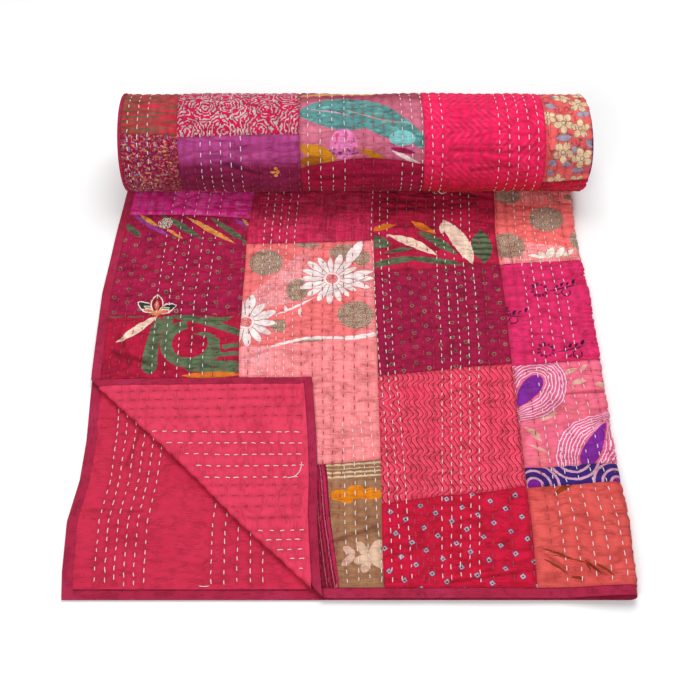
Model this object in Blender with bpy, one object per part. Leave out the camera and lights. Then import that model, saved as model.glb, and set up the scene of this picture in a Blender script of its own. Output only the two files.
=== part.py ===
"""A kantha quilt, folded in half along its length and part rolled, lying on a flat surface.

Metres, +Z up, front edge towards -Y. The origin is the middle of the underside of its outline.

The quilt is drawn as a flat pattern first. Pattern u runs across the quilt, from the bound edge
of the lower half (0), over the fold (HALF), to the bound edge of the upper half (2 * HALF).
Pattern w runs along it, from its front end. lay() puts each point of the pattern where it lies,
and each cloth is a wall of its own thickness on that surface.
"""

import math

import bmesh
import bpy
import numpy as np

# The quilt as it was sewn
HALF = 0.76
LENGTH = 2.28
CLOTH = 0.005
BACKING = 0.0017
GAP = 0.0003
EDGE_GAP = 0.0008
BINDING = 0.016
ROUND_EDGE = 0.0025
EDGE_SHARE = 0.2

# How it is folded
FRONT_Y = -0.424
FLAT = 0.764
LAYER_GAP = 0.0013
CORNER = 0.350
TURN_RADIUS = (CLOTH + LAYER_GAP) / 2
TURN_STEPS = 8
SHY_OF_TURN = 0.012
CORNER_PULL_ACROSS = 0.065
CORNER_PULL_ALONG = 0.020
FOLD_REACH = 0.10
FOLD_HALF_STEPS = 4
FOLD_HALF_BAND = 0.014

# How it is wound
TURN_GAP = 0.0012
PITCH = 2 * CLOTH + LAYER_GAP + TURN_GAP
CORE = 0.024
TURNS = 5
AXIS_Y = FRONT_Y + FLAT
AXIS_Z = math.sqrt((LENGTH - FLAT) * PITCH / math.pi + CORE**2) + PITCH / 2
ROLL_LEFT = -0.3665
ROLL_RIGHT = 0.3805
ROLL_SINK = 0.0004
ROLL_SIDES = 28
EDGE_RIDGE = 0.0025
FOLD_RIDGE = 0.0055
SLIP = 0.004
SWAY = 0.0025
CORE_DEPTH = 0.045
LUMP = 0.0013
LUMP_FADE = math.radians(28)
INTO_ROLL = 0.006
UNDER_ROLL = 0.04

# The rows of stitching, which draw the cloth in
ROW = HALF / 44
ROW_DIP = 0.0008
STEP_ALONG = 0.05

# The outline on the surface: distance from the front end, and x of the edge there
LEFT_EDGE = (
    (0.000, -0.382),
    (0.040, -0.387),
    (0.115, -0.391),
    (0.180, -0.382),
    (0.245, -0.381),
    (0.360, -0.387),
    (0.510, -0.390),
    (0.640, -0.382),
    (0.730, -0.375),
)
RIGHT_EDGE = (
    (0.000, 0.380),
    (0.060, 0.383),
    (0.105, 0.385),
    (0.170, 0.381),
    (0.310, 0.380),
    (0.430, 0.381),
    (0.530, 0.382),
    (0.600, 0.377),
    (0.660, 0.374),
    (0.730, 0.379),
)
# How far the fold stands open: distance from the front end, and the extra height there
OPENING = (
    (0.000, 0.0115),
    (0.100, 0.0100),
    (0.250, 0.0060),
    (0.500, 0.0040),
    (0.700, 0.0010),
    (0.760, 0.0000),
)

RASPBERRY = (0.60, 0.02, 0.10)
CRIMSON = (0.52, 0.02, 0.14)
PLUM = (0.30, 0.01, 0.08)
CLOTH_ROUGHNESS = 0.85


def read_table(table, distance):
    places, values = zip(*table)
    return np.interp(distance, places, values)


def ease(share):
    share = np.clip(share, 0, 1)
    return share * share * (3 - 2 * share)


def lay_flat(u, w):
    """The middle of the cloth, before the corner is turned back."""
    opening = read_table(OPENING, w)
    radius = (CLOTH + LAYER_GAP + opening) / 2
    centre = read_table(RIGHT_EDGE, w) - CLOTH / 2 - radius
    left = read_table(LEFT_EDGE, w)
    quarter = math.pi / 2 * radius
    past = np.abs(u - HALF) - quarter
    angle = np.clip((u - HALF) / radius, -math.pi / 2, math.pi / 2)
    run_x = centre - (centre - left) * past / (HALF - quarter)
    fallen = opening * ease(past / FOLD_REACH)
    run_z = CLOTH / 2 + np.where(u > HALF, 2 * radius - fallen, 0)
    x = np.where(past > 0, run_x, centre + radius * np.cos(angle))
    z = np.where(past > 0, run_z, CLOTH / 2 + radius + radius * np.sin(angle))
    return np.stack([x, FRONT_Y + w, z], axis=-1)


def beyond_turn(u, w):
    """How far a point lies past the line on which the upper corner is turned back."""
    return (CORNER - (2 * HALF - u) - w) / math.sqrt(2)


def lay(u, w):
    """The middle of the cloth, with the upper corner turned back over it."""
    across = 2 * HALF - u
    past = beyond_turn(u, w)
    along_line = (across - w) / math.sqrt(2)
    angle = np.clip(past / TURN_RADIUS, 0, math.pi)
    back = np.maximum(past - math.pi * TURN_RADIUS, 0)
    out = TURN_RADIUS * np.sin(angle) - back
    new_across = CORNER / 2 + (along_line - out) / math.sqrt(2) - CORNER_PULL_ACROSS * back
    new_w = CORNER / 2 - (along_line + out) / math.sqrt(2) + CORNER_PULL_ALONG * back
    turned = past > 0
    place = lay_flat(np.where(turned, 2 * HALF - new_across, u), np.where(turned, new_w, w))
    place[..., 2] += np.where(turned, TURN_RADIUS * (1 - np.cos(angle)), 0)
    return place


def backing_side(u, w):
    """Unit direction out of the cloth on its backing side."""
    step = 1e-5
    over = lay(u + step, w) - lay(u - step, w)
    along = lay(u, w + step) - lay(u, w - step)
    normal = np.cross(over, along)
    return normal / np.linalg.norm(normal, axis=-1, keepdims=True)


def row_dip(u):
    return ROW_DIP * (1 + np.cos(2 * math.pi * u / ROW)) / 2


def patchwork_face(u, w):
    """The patchwork side: its rows are sunk where the upper half lies open to view."""
    past = beyond_turn(u, w)
    covered = np.maximum(2 * HALF - u, w) < CORNER - 2 * BINDING
    seen = (u > HALF) & (past < -SHY_OF_TURN) & ~covered
    clear_of_roll = ease((FLAT - UNDER_ROLL - w) / UNDER_ROLL)
    return -CLOTH / 2 + np.where(seen, row_dip(u), 0) * clear_of_roll


def backing_face(u, w):
    """The backing side: its rows show on the turned corner and on the cloth that it bares."""
    on_corner = beyond_turn(u, w) > math.pi * TURN_RADIUS + SHY_OF_TURN
    bared = u + w < CORNER + SHY_OF_TURN
    return CLOTH / 2 - np.where(on_corner | bared, row_dip(u), 0)


def level(offset):
    return lambda u, w: np.full_like(u, offset)


def binding_face(side):
    """A strip folded over the edge of the quilt is rounded along that edge."""

    def offset(u, w):
        from_edge = np.minimum(np.minimum(u, 2 * HALF - u), w)
        full = np.sqrt(np.clip(from_edge / ROUND_EDGE, EDGE_SHARE, 1))
        return side * CLOTH / 2 * full

    return offset


def material(name, colour):
    made = bpy.data.materials.new(name)
    made.use_nodes = True
    shader = made.node_tree.nodes["Principled BSDF"]
    shader.inputs["Base Color"].default_value = (*colour, 1)
    shader.inputs["Roughness"].default_value = CLOTH_ROUGHNESS
    return made


def add_object(name, bm, finish):
    mesh = bpy.data.meshes.new(name)
    bm.to_mesh(mesh)
    bm.free()
    mesh.materials.append(finish)
    made = bpy.data.objects.new(name, mesh)
    bpy.context.scene.collection.objects.link(made)
    return made


def cloth_wall(name, columns, rows, patchwork_side, lining_side, finish):
    """A piece of cloth: a closed wall between two offsets from the surface of the quilt."""
    bm = bmesh.new()
    grid = [[bm.verts.new((u, w, 0)) for u in columns] for w in rows]
    for near, far in zip(grid, grid[1:]):
        for i in range(len(columns) - 1):
            bm.faces.new((near[i], near[i + 1], far[i + 1], far[i]))
    for k in range(TURN_STEPS + 1):
        reach = CORNER - math.sqrt(2) * math.pi * TURN_RADIUS * k / TURN_STEPS
        everything = bm.verts[:] + bm.edges[:] + bm.faces[:]
        bmesh.ops.bisect_plane(
            bm, geom=everything, dist=1e-6, plane_co=(2 * HALF - reach, 0, 0), plane_no=(-1, 1, 0)
        )
    bm.verts.index_update()
    pattern = np.array([vert.co[:2] for vert in bm.verts], float)
    faces = [[vert.index for vert in face.verts] for face in bm.faces]
    rim = []
    for edge in bm.edges:
        if edge.is_boundary:
            start = edge.link_loops[0].vert
            rim.append((start.index, edge.other_vert(start).index))
    bm.free()

    u, w = pattern.T
    middle = lay(u, w)
    out = backing_side(u, w)
    low = middle + out * patchwork_side(u, w)[:, None]
    high = middle + out * lining_side(u, w)[:, None]
    bm = bmesh.new()
    lower = [bm.verts.new(point) for point in low]
    upper = [bm.verts.new(point) for point in high]
    for face in faces:
        bm.faces.new([upper[i] for i in face])
        bm.faces.new([lower[i] for i in reversed(face)])
    for a, b in rim:
        bm.faces.new((lower[a], lower[b], upper[b], upper[a]))
    bm.normal_update()
    bmesh.ops.dissolve_limit(
        bm, angle_limit=math.radians(0.3), verts=bm.verts[:], edges=bm.edges[:]
    )
    return add_object(name, bm, finish)


def columns_between(first, last, spacing):
    """Pattern columns at the rows of stitching, closer together where the quilt folds."""
    steps = range(-FOLD_HALF_STEPS, FOLD_HALF_STEPS + 1)
    band = [HALF + FOLD_HALF_BAND * k / FOLD_HALF_STEPS for k in steps]
    places = [spacing * k for k in range(1, round(2 * HALF / spacing))]
    clear = 0.3 * spacing
    places = [u for u in places if abs(u - HALF) > FOLD_HALF_BAND + clear]
    places = [u for u in places + band if first + clear < u < last - clear]
    return [first, *sorted(places), last]


def rows_between(first, last):
    places = [STEP_ALONG * k for k in range(1, math.ceil(last / STEP_ALONG))]
    return [first, *places, last]


def turn_radius(theta):
    return AXIS_Z - PITCH * theta / (2 * math.pi)


def wound(theta, inward, x, dip):
    """A point of the roll: theta counts on from the floor, over the back and the top."""
    free = np.clip(min(theta, 2 * math.pi - theta) / LUMP_FADE, 0, 1)
    lump = math.sin(2 * math.pi * x / 0.31 + 2 * theta) + math.sin(2 * math.pi * x / 0.17 - theta)
    radius = turn_radius(theta) - inward + free * (LUMP * lump / 2 - dip)
    y = AXIS_Y + radius * math.sin(theta)
    return (x, y, ROLL_SINK + AXIS_Z - radius * math.cos(theta))


def end_x(edge, theta, outward):
    """Each turn slips a little towards the fold, past the one outside it."""
    sway = -SWAY * math.cos(theta + math.radians(315))
    return edge + SLIP * theta / (2 * math.pi * TURNS) + sway + outward


def roll_body(name, finish):
    """The wound part as one body, with each turn of the cloth as a ridge round both ends."""
    bm = bmesh.new()
    sides = ROLL_SIDES
    angles = [2 * math.pi * k / sides for k in range(sides * TURNS + 1)]
    stations = columns_between(0, HALF, ROW / 2)
    stations = [u for u in stations if u < HALF - FOLD_HALF_BAND] + [HALF]
    rings = []
    for u in stations:
        dip = 0 if u in (0, HALF) else float(row_dip(u))
        x = ROLL_LEFT + (ROLL_RIGHT - ROLL_LEFT) * u / HALF
        ring = []
        for theta in angles[: sides + 1]:
            ring.append(bm.verts.new(wound(theta, 0, end_x(x, theta, 0), dip)))
        ring.append(bm.verts.new(wound(0, PITCH / 2, x, 0)))
        rings.append(ring)
    for near, far in zip(rings, rings[1:]):
        for i in range(len(near)):
            j = (i + 1) % len(near)
            bm.faces.new((near[i], far[i], far[j], near[j]))
    for ring, edge, ridge, inwards in (
        (rings[0], ROLL_LEFT, -EDGE_RIDGE, 1),
        (rings[-1], ROLL_RIGHT, FOLD_RIDGE, -1),
    ):
        groove = ring[: sides + 1]
        for theta in angles[sides + 1 :]:
            groove.append(bm.verts.new(wound(theta, 0, end_x(edge, theta, 0), 0)))
        crest = [ring[-1]]
        for theta in angles[1 : sides * (TURNS - 1) + 1]:
            crest.append(bm.verts.new(wound(theta, PITCH / 2, end_x(edge, theta, ridge), 0)))
        for i in range(sides * (TURNS - 1)):
            bm.faces.new((groove[i], groove[i + 1], crest[i + 1], crest[i]))
            bm.faces.new((crest[i], crest[i + 1], groove[i + 1 + sides], groove[i + sides]))
        mouth = groove[sides * (TURNS - 1) :] + [crest[-1]]
        floor = [bm.verts.new((v.co.x + inwards * CORE_DEPTH, v.co.y, v.co.z)) for v in mouth]
        for i in range(len(mouth)):
            j = (i + 1) % len(mouth)
            bm.faces.new((mouth[i], mouth[j], floor[j], floor[i]))
        bm.faces.new(floor)
    bmesh.ops.recalc_face_normals(bm, faces=bm.faces[:])
    made = add_object(name, bm, finish)
    made.hide_render = True
    made.display_type = "WIRE"
    return made


for old in list(bpy.data.objects):
    bpy.data.objects.remove(old, do_unlink=True)

patchwork_finish = material("patchwork", CRIMSON)
backing_finish = material("backing", RASPBERRY)
binding_finish = material("binding", PLUM)

# The patchwork top, outside all over, and the wound part that it goes into
inner = BINDING + EDGE_GAP
split = CLOTH / 2 - BACKING
top_columns = columns_between(inner, 2 * HALF - inner, ROW / 2)
patchwork_top = cloth_wall(
    "patchwork_top",
    top_columns,
    rows_between(inner, FLAT + INTO_ROLL),
    patchwork_face,
    level(split - GAP),
    patchwork_finish,
)
join = patchwork_top.modifiers.new("wound_part", "BOOLEAN")
join.operation = "UNION"
join.object = roll_body("roll_body", patchwork_finish)

# The plain backing, inside the fold, which shows where the corner is turned back
cloth_wall(
    "backing",
    top_columns,
    rows_between(inner, FLAT - GAP),
    level(split),
    backing_face,
    backing_finish,
)

# The binding: one strip along each side, and one across the end over the ends of those
side_rows = rows_between(inner, FLAT - GAP)
edge_columns = [0, ROUND_EDGE, BINDING]
binding_walls = (binding_face(-1), binding_face(1))
cloth_wall("binding_side_lower", edge_columns, side_rows, *binding_walls, binding_finish)
far_columns = [2 * HALF - u for u in reversed(edge_columns)]
cloth_wall("binding_side_upper", far_columns, side_rows, *binding_walls, binding_finish)
end_columns = columns_between(inner, 2 * HALF - inner, ROW / 2)
end_columns = [0, ROUND_EDGE, *end_columns, 2 * HALF - ROUND_EDGE, 2 * HALF]
cloth_wall("binding_end", end_columns, edge_columns, *binding_walls, binding_finish)
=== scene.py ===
"""A kantha quilt, folded in half along its length and part rolled: every cloth, seam and stitch.

Metres, +Z up, front edge towards -Y, as in the CAD model. Places on the quilt are given on its
flat pattern. u runs across it, from the bound edge of the lower half (0), over the fold (HALF),
to the bound edge of the upper half (2 * HALF), and p is the same distance counted from that
upper edge. w runs along it from its front end, into the roll.
"""
import math

import bmesh
import bpy
import numpy as np
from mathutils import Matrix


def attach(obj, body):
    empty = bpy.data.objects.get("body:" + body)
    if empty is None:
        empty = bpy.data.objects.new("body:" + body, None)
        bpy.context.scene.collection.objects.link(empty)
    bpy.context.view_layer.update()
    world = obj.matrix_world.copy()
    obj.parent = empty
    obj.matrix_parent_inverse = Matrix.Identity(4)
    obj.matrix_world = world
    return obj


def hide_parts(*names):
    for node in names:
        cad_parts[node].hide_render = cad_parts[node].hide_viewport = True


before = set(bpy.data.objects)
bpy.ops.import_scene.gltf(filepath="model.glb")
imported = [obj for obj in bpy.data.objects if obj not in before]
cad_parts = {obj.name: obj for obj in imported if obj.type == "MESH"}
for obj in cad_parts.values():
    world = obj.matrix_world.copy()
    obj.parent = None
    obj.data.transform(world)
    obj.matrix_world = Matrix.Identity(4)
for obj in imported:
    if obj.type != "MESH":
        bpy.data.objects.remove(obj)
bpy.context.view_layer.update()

# The camera stands in front of the quilt and looks down at it, as in the photograph, whose
# picture is square.
LENS = 59.72
SENSOR = 36.0
CAMERA_PLACE = (-0.0135, -1.0223, 1.411)
CAMERA_PITCH = math.radians(36.0)

camera = bpy.data.objects.new("camera", bpy.data.cameras.new("camera"))
camera.data.lens = LENS
camera.data.sensor_width = SENSOR
camera.location = CAMERA_PLACE
camera.rotation_euler = (CAMERA_PITCH, 0, 0)
bpy.context.scene.collection.objects.link(camera)
bpy.context.scene.camera = camera

# The studio: a plain white floor, a broad soft light overhead and a weaker one from the front.
FLOOR_SIDE = 8.0
FLOOR_DROP = 0.0004
FLOOR_COLOUR = (0.93, 0.93, 0.93, 1)
LIGHTS = (
    # name, place, side, watts, what it is turned to
    ("overhead", (0.18, 0.78, 2.3), 1.5, 38, (0, 0.05, 0)),
    ("front", (-0.9, -2.2, 1.9), 1.4, 40, (0, 0, 0.05)),
)
SKY_STRENGTH = 0.41

bpy.context.scene.view_settings.view_transform = "Standard"
bpy.ops.object.select_all(action="DESELECT")
bpy.ops.mesh.primitive_plane_add(size=FLOOR_SIDE, location=(0, 0, -FLOOR_DROP))
floor = bpy.context.object
floor.name = "floor"
bpy.ops.object.transform_apply(location=True)
floor_finish = bpy.data.materials.new("floor")
floor_finish.use_nodes = True
floor_finish.node_tree.nodes["Principled BSDF"].inputs["Base Color"].default_value = FLOOR_COLOUR
floor_finish.node_tree.nodes["Principled BSDF"].inputs["Roughness"].default_value = 0.9
floor.data.materials.append(floor_finish)

for name, place, side, watts, aim in LIGHTS:
    lamp = bpy.data.lights.new(name, "AREA")
    lamp.size = side
    lamp.energy = watts
    holder = bpy.data.objects.new(name, lamp)
    holder.location = place
    towards = np.array(place) - np.array(aim)
    across = math.hypot(towards[0], towards[1])
    holder.rotation_euler = (math.atan2(across, towards[2]), 0, math.atan2(towards[0], -towards[1]))
    bpy.context.scene.collection.objects.link(holder)
world = bpy.data.worlds.new("studio")
world.use_nodes = True
world.node_tree.nodes["Background"].inputs["Color"].default_value = (1, 1, 1, 1)
world.node_tree.nodes["Background"].inputs["Strength"].default_value = SKY_STRENGTH
bpy.context.scene.world = world

# How the quilt lies: two layers of cloth with cotton between, folded along the right, the upper
# front corner turned back, and the far part wound up. quilt_place() puts a point of the pattern
# where it lies, and out moves it from the middle of the cloth towards the backing.
HALF = 0.76
LENGTH = 2.28
CLOTH = 0.005
LAYER_GAP = 0.0013
BINDING = 0.016
FRONT_Y = -0.424
FLAT = 0.764
CORNER = 0.350
TURN_RADIUS = (CLOTH + LAYER_GAP) / 2
CORNER_PULL_ACROSS = 0.065
CORNER_PULL_ALONG = 0.020
FOLD_REACH = 0.10
PITCH = 2 * CLOTH + LAYER_GAP + 0.0012
CORE = 0.024
AXIS_Y = FRONT_Y + FLAT
AXIS_Z = math.sqrt((LENGTH - FLAT) * PITCH / math.pi + CORE**2) + PITCH / 2
ROLL_SLIP = 0.0011
ROLL_SWAY = 0.0035
ROLL_SWAY_TURN = math.radians(275)
LUMP = 0.0013
LUMP_FADE = math.radians(28)
LUMP_LENGTHS = (0.31, 0.17)
SWELL = 0.0008
SWELL_FADES_AT = 0.70
ONE_TURN = 2 * math.pi
# Distance from the front end, and x of the left and the right edge there
EDGES = (
    (0.000, -0.382, 0.380),
    (0.040, -0.387, 0.382),
    (0.115, -0.391, 0.3845),
    (0.180, -0.382, 0.381),
    (0.245, -0.381, 0.3805),
    (0.360, -0.387, 0.3805),
    (0.510, -0.390, 0.3815),
    (0.640, -0.382, 0.375),
    (0.730, -0.375, 0.379),
    (0.800, -0.3685, 0.386),
    (2.280, -0.3685, 0.386),
)
# Distance from the front end, and how far the fold stands open there
OPENING = (
    (0.000, 0.0115), (0.100, 0.0100), (0.250, 0.0060), (0.500, 0.0040), (0.700, 0.0010), (0.760, 0.0)
)


def read_table(table, distance, column=1):
    rows = np.array(table)
    return np.interp(distance, rows[:, 0], rows[:, column])


def ease(share):
    share = np.clip(share, 0, 1)
    return share * share * (3 - 2 * share)


def turned(w):
    """The angle through which the roll has wound a point, from the floor over the back."""
    arm = AXIS_Z - (2 * CLOTH + LAYER_GAP) / 2
    curl = PITCH / (4 * math.pi)
    wound = np.maximum(w - FLAT, 0)
    return (arm - np.sqrt(np.maximum(arm**2 - 4 * curl * wound, 0))) / (2 * curl)


def wind(x, w, height):
    """Winds up what lies past FLAT: height over the table becomes depth in the roll."""
    theta = turned(w)
    free = np.clip(np.minimum(theta, ONE_TURN - theta) / LUMP_FADE, 0, 1)
    long, short = (ONE_TURN * x / length for length in LUMP_LENGTHS)
    lump = np.sin(long + 2 * theta) + np.sin(short - theta)
    radius = AXIS_Z - PITCH * theta / ONE_TURN - height + free * LUMP * lump / 2
    y = np.where(w > FLAT, AXIS_Y + radius * np.sin(theta), FRONT_Y + w)
    z = np.where(w > FLAT, AXIS_Z - radius * np.cos(theta), height)
    return np.stack([x, y, z], axis=-1)


def lay_flat(u, w):
    """The middle of the cloth, before the corner is turned back."""
    theta = turned(w)
    opening = read_table(OPENING, w)
    radius = (CLOTH + LAYER_GAP + opening) / 2
    sway = ROLL_SLIP * theta / ONE_TURN + ROLL_SWAY * np.cos(theta - ROLL_SWAY_TURN) * ease(theta)
    centre = read_table(EDGES, w, 2) + sway - CLOTH / 2 - radius
    left = read_table(EDGES, w) + ROLL_SLIP * theta / ONE_TURN
    quarter = math.pi / 2 * radius
    past = np.abs(u - HALF) - quarter
    angle = np.clip((u - HALF) / radius, -math.pi / 2, math.pi / 2)
    run_x = centre - (centre - left) * past / (HALF - quarter)
    fallen = opening * ease(past / FOLD_REACH)
    swell = SWELL * (1 + np.sin(u * 31 + w * 13) * np.sin(w * 37 - u * 9))
    swell = swell * ease(past / FOLD_REACH) * ease((SWELL_FADES_AT - w) / 0.1)
    run_z = CLOTH / 2 + np.where(u > HALF, 2 * radius - fallen + swell, 0)
    x = np.where(past > 0, run_x, centre + radius * np.cos(angle))
    z = np.where(past > 0, run_z, CLOTH / 2 + radius + radius * np.sin(angle))
    return wind(x, w, z)


def beyond_turn(u, w):
    """How far a point lies past the line on which the upper corner is turned back."""
    return (CORNER - (2 * HALF - u) - w) / math.sqrt(2)


def middle(u, w):
    """The middle of the cloth, with the upper corner turned back over it."""
    across = 2 * HALF - u
    past = beyond_turn(u, w)
    along_line = (across - w) / math.sqrt(2)
    angle = np.clip(past / TURN_RADIUS, 0, math.pi)
    back = np.maximum(past - math.pi * TURN_RADIUS, 0)
    out = TURN_RADIUS * np.sin(angle) - back
    new_across = CORNER / 2 + (along_line - out) / math.sqrt(2) - CORNER_PULL_ACROSS * back
    new_w = CORNER / 2 - (along_line + out) / math.sqrt(2) + CORNER_PULL_ALONG * back
    over = past > 0
    place = lay_flat(np.where(over, 2 * HALF - new_across, u), np.where(over, new_w, w))
    place[..., 2] += np.where(over, TURN_RADIUS * (1 - np.cos(angle)), 0)
    return place


def unit(vectors):
    return vectors / np.maximum(np.linalg.norm(vectors, axis=-1, keepdims=True), 1e-12)


def backing_side(u, w):
    step = 1e-5
    over = middle(u + step, w) - middle(u - step, w)
    along = middle(u, w + step) - middle(u, w - step)
    return unit(np.cross(over, along))


def quilt_place(u, w, out):
    return middle(u, w) + backing_side(u, w) * np.asarray(out)[..., None]


# The rows of running stitch, which hold the layers together all over: the seven or eight white
# groups that show, and crimson ones between. Each row draws the cloth into a shallow furrow.
WHITE = "white"
CRIMSON = "crimson"
# Thread, rows, first and last p at w 0.70, the same at 0.40, the same at 0.05, from w, to w
TOP_ROWS = (
    (CRIMSON, 4, 0.028, 0.070, 0.026, 0.069, 0.020, 0.068, 0.02, 0.76),
    (WHITE, 5, 0.084, 0.165, 0.088, 0.164, 0.096, 0.168, 0.02, 0.76),
    (CRIMSON, 4, 0.181, 0.229, 0.180, 0.232, 0.180, 0.229, 0.02, 0.76),
    (WHITE, 5, 0.2435, 0.295, 0.248, 0.298, 0.249, 0.305, 0.02, 0.76),
    (CRIMSON, 5, 0.311, 0.376, 0.311, 0.376, 0.319, 0.364, 0.02, 0.76),
    (CRIMSON, 2, 0.391, 0.406, 0.392, 0.411, 0.381, 0.405, 0.28, 0.76),
    (WHITE, 4, 0.362, 0.402, 0.366, 0.404, 0.377, 0.422, 0.02, 0.275),
    (WHITE, 3, 0.4205, 0.447, 0.428, 0.450, 0.437, 0.462, 0.02, 0.76),
    (CRIMSON, 4, 0.463, 0.512, 0.464, 0.511, 0.471, 0.492, 0.02, 0.76),
    (WHITE, 5, 0.527, 0.585, 0.523, 0.579, 0.502, 0.552, 0.02, 0.76),
    (CRIMSON, 4, 0.600, 0.647, 0.594, 0.647, 0.570, 0.650, 0.02, 0.76),
    (WHITE, 5, 0.661, 0.722, 0.6615, 0.724, 0.666, 0.743, 0.02, 0.76),
    (CRIMSON, 1, 0.738, 0.738, 0.740, 0.740, 0.757, 0.757, 0.02, 0.76),
)
# The same for the lower half, in u, where the turned corner bares it
CORNER_ROWS = (
    (WHITE, 6, 0.0435, 0.110, 0.0435, 0.112, 0.0435, 0.108, 0.02, 0.42),
    (WHITE, 5, 0.2016, 0.272, 0.200, 0.271, 0.197, 0.266, 0.02, 0.42),
)
# Round the roll each group runs straight: thread, rows, first and last u
ROLL_GROUPS = (
    (WHITE, 3, 0.016, 0.048), (CRIMSON, 5, 0.064, 0.122), (WHITE, 5, 0.132, 0.197),
    (CRIMSON, 6, 0.212, 0.290), (WHITE, 4, 0.305, 0.364), (CRIMSON, 5, 0.378, 0.442),
    (WHITE, 5, 0.456, 0.521), (CRIMSON, 5, 0.536, 0.598), (WHITE, 5, 0.612, 0.674),
    (CRIMSON, 5, 0.690, 0.748),
)
ROLL_ROWS = [
    (thread, count, *(first, last) * 3, 0.80, 1.28) for thread, count, first, last in ROLL_GROUPS
]
ROW_TABLE_W = (0.70, 0.40, 0.05)
ROW_WANDER = 0.0008
ROW_DIP = 0.0011
ROW_WIDTH = 0.0034
draw = np.random.default_rng(1907)


def soft_noise(seed, cells=64):
    """Smooth noise from -1 to 1 over the plane, with a bump for each unit."""
    lattice = np.random.default_rng(seed).uniform(-1, 1, (cells, cells))

    def read(x, y):
        x0, y0 = np.floor(x).astype(int), np.floor(y).astype(int)
        fx, fy = ease(x - x0), ease(y - y0)
        x1, y1 = (x0 + 1) % cells, (y0 + 1) % cells
        x0, y0 = x0 % cells, y0 % cells
        near = lattice[x0, y0] * (1 - fx) + lattice[x1, y0] * fx
        far = lattice[x0, y1] * (1 - fx) + lattice[x1, y1] * fx
        return near * (1 - fy) + far * fy

    return read


wander_noise = soft_noise(11)


def rows_of(table):
    """Every row of a table: thread, a function from w to its place, from w, to w."""
    made = []
    for thread, count, *places, start, end in table:
        for k in range(count):
            share = k / max(count - 1, 1)
            at = [places[2 * i] * (1 - share) + places[2 * i + 1] * share for i in range(3)]
            seed = 17.3 * len(made) + 5.1 * len(table)

            def row(w, at=tuple(at), seed=seed):
                straight = np.interp(w, ROW_TABLE_W[::-1], at[::-1])
                return straight + ROW_WANDER * wander_noise(np.asarray(w) / 0.045, seed)

            made.append((thread, row, start, end))
    return made


top_rows = rows_of(TOP_ROWS)
corner_rows = rows_of(CORNER_ROWS)
roll_rows = rows_of(ROLL_ROWS)


def row_distance(rows, across, w):
    """How far each point lies from the nearest row."""
    nearest = np.full(np.shape(across), 1.0)
    for _, row, start, end in rows:
        away = np.abs(across - row(w)) + 9 * np.maximum(start - w, 0) + 9 * np.maximum(w - end, 0)
        nearest = np.minimum(nearest, away)
    return nearest


# The puckers: between the rows the washed cloth stands in short wrinkles across them. How high
# they are differs from fabric to fabric.
PUCKER_ALONG = 0.0082
PUCKER_ACROSS = 0.034
PUCKER_LEVEL = 0.45
VALLEY_DEPTH = 1.45
VALLEY_WIDTH = 0.15
SHORT_SHARE = 0.36
FINE_SHARE = 0.16
SLOW_LIFT = 0.0004
# Painted shade of cloth that lies level, and how much a wrinkle, a furrow and a crease change it
LEVEL_SHADE = 0.62
WRINKLE_SHADE = 0.34
FURROW_SHADE = 0.20
FULL_WRINKLE = 0.0008
FULL_CREASE = 0.0022
long_pucker = soft_noise(23)
short_pucker = soft_noise(29)
fine_pucker = soft_noise(31)
slow_lift = soft_noise(37)


def puckers(across, w, away):
    """Height of the wrinkles, about -1 to 1, least beside a row of stitches."""
    drift = 0.6 * slow_lift(across / 0.04, w / 0.06)
    long = long_pucker(across / PUCKER_ACROSS + 3, w / PUCKER_ALONG + drift)
    valley = np.exp(-((long / VALLEY_WIDTH) ** 2))
    short = short_pucker(across / 0.012, w / 0.0065 + drift)
    fine = fine_pucker(across / 0.006, w / 0.004)
    between = 0.40 + 0.60 * ease(away / 0.006)
    return (PUCKER_LEVEL - VALLEY_DEPTH * valley + SHORT_SHARE * short + FINE_SHARE * fine) * between


def relief(across, w, rows, height, creases=()):
    """How far the face of the cloth stands out, and the shade painted into its colour: 0 in a hollow and 1
    on a ridge.
    """
    away = row_distance(rows, across, w)
    furrow = np.exp(-((away / ROW_WIDTH) ** 2))
    wrinkle = puckers(across, w, away)
    slow = slow_lift(across / 0.05 + 9, w / 0.05)
    deep = np.zeros(np.shape(across))
    for start_across, start_w, end_across, end_w, depth, width in creases:
        run, rise = end_across - start_across, end_w - start_w
        far = math.hypot(run, rise)
        along = ((across - start_across) * run + (w - start_w) * rise) / far
        aside = ((w - start_w) * run - (across - start_across) * rise) / far
        ends = ease(along / 0.012) * ease((far - along) / 0.012)
        aside = aside / width
        # A valley with a low ridge beside it
        deep += depth * ends * (1.4 * np.exp(-(aside**2)) - 0.5 * np.exp(-((aside - 1.9) ** 2)))
    lift = height * wrinkle + SLOW_LIFT * slow - ROW_DIP * furrow - deep
    shade = LEVEL_SHADE + WRINKLE_SHADE * wrinkle * np.minimum(1, height / FULL_WRINKLE)
    shade = shade - FURROW_SHADE * furrow - deep / FULL_CREASE
    return lift, np.clip(shade, 0, 1)


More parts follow.
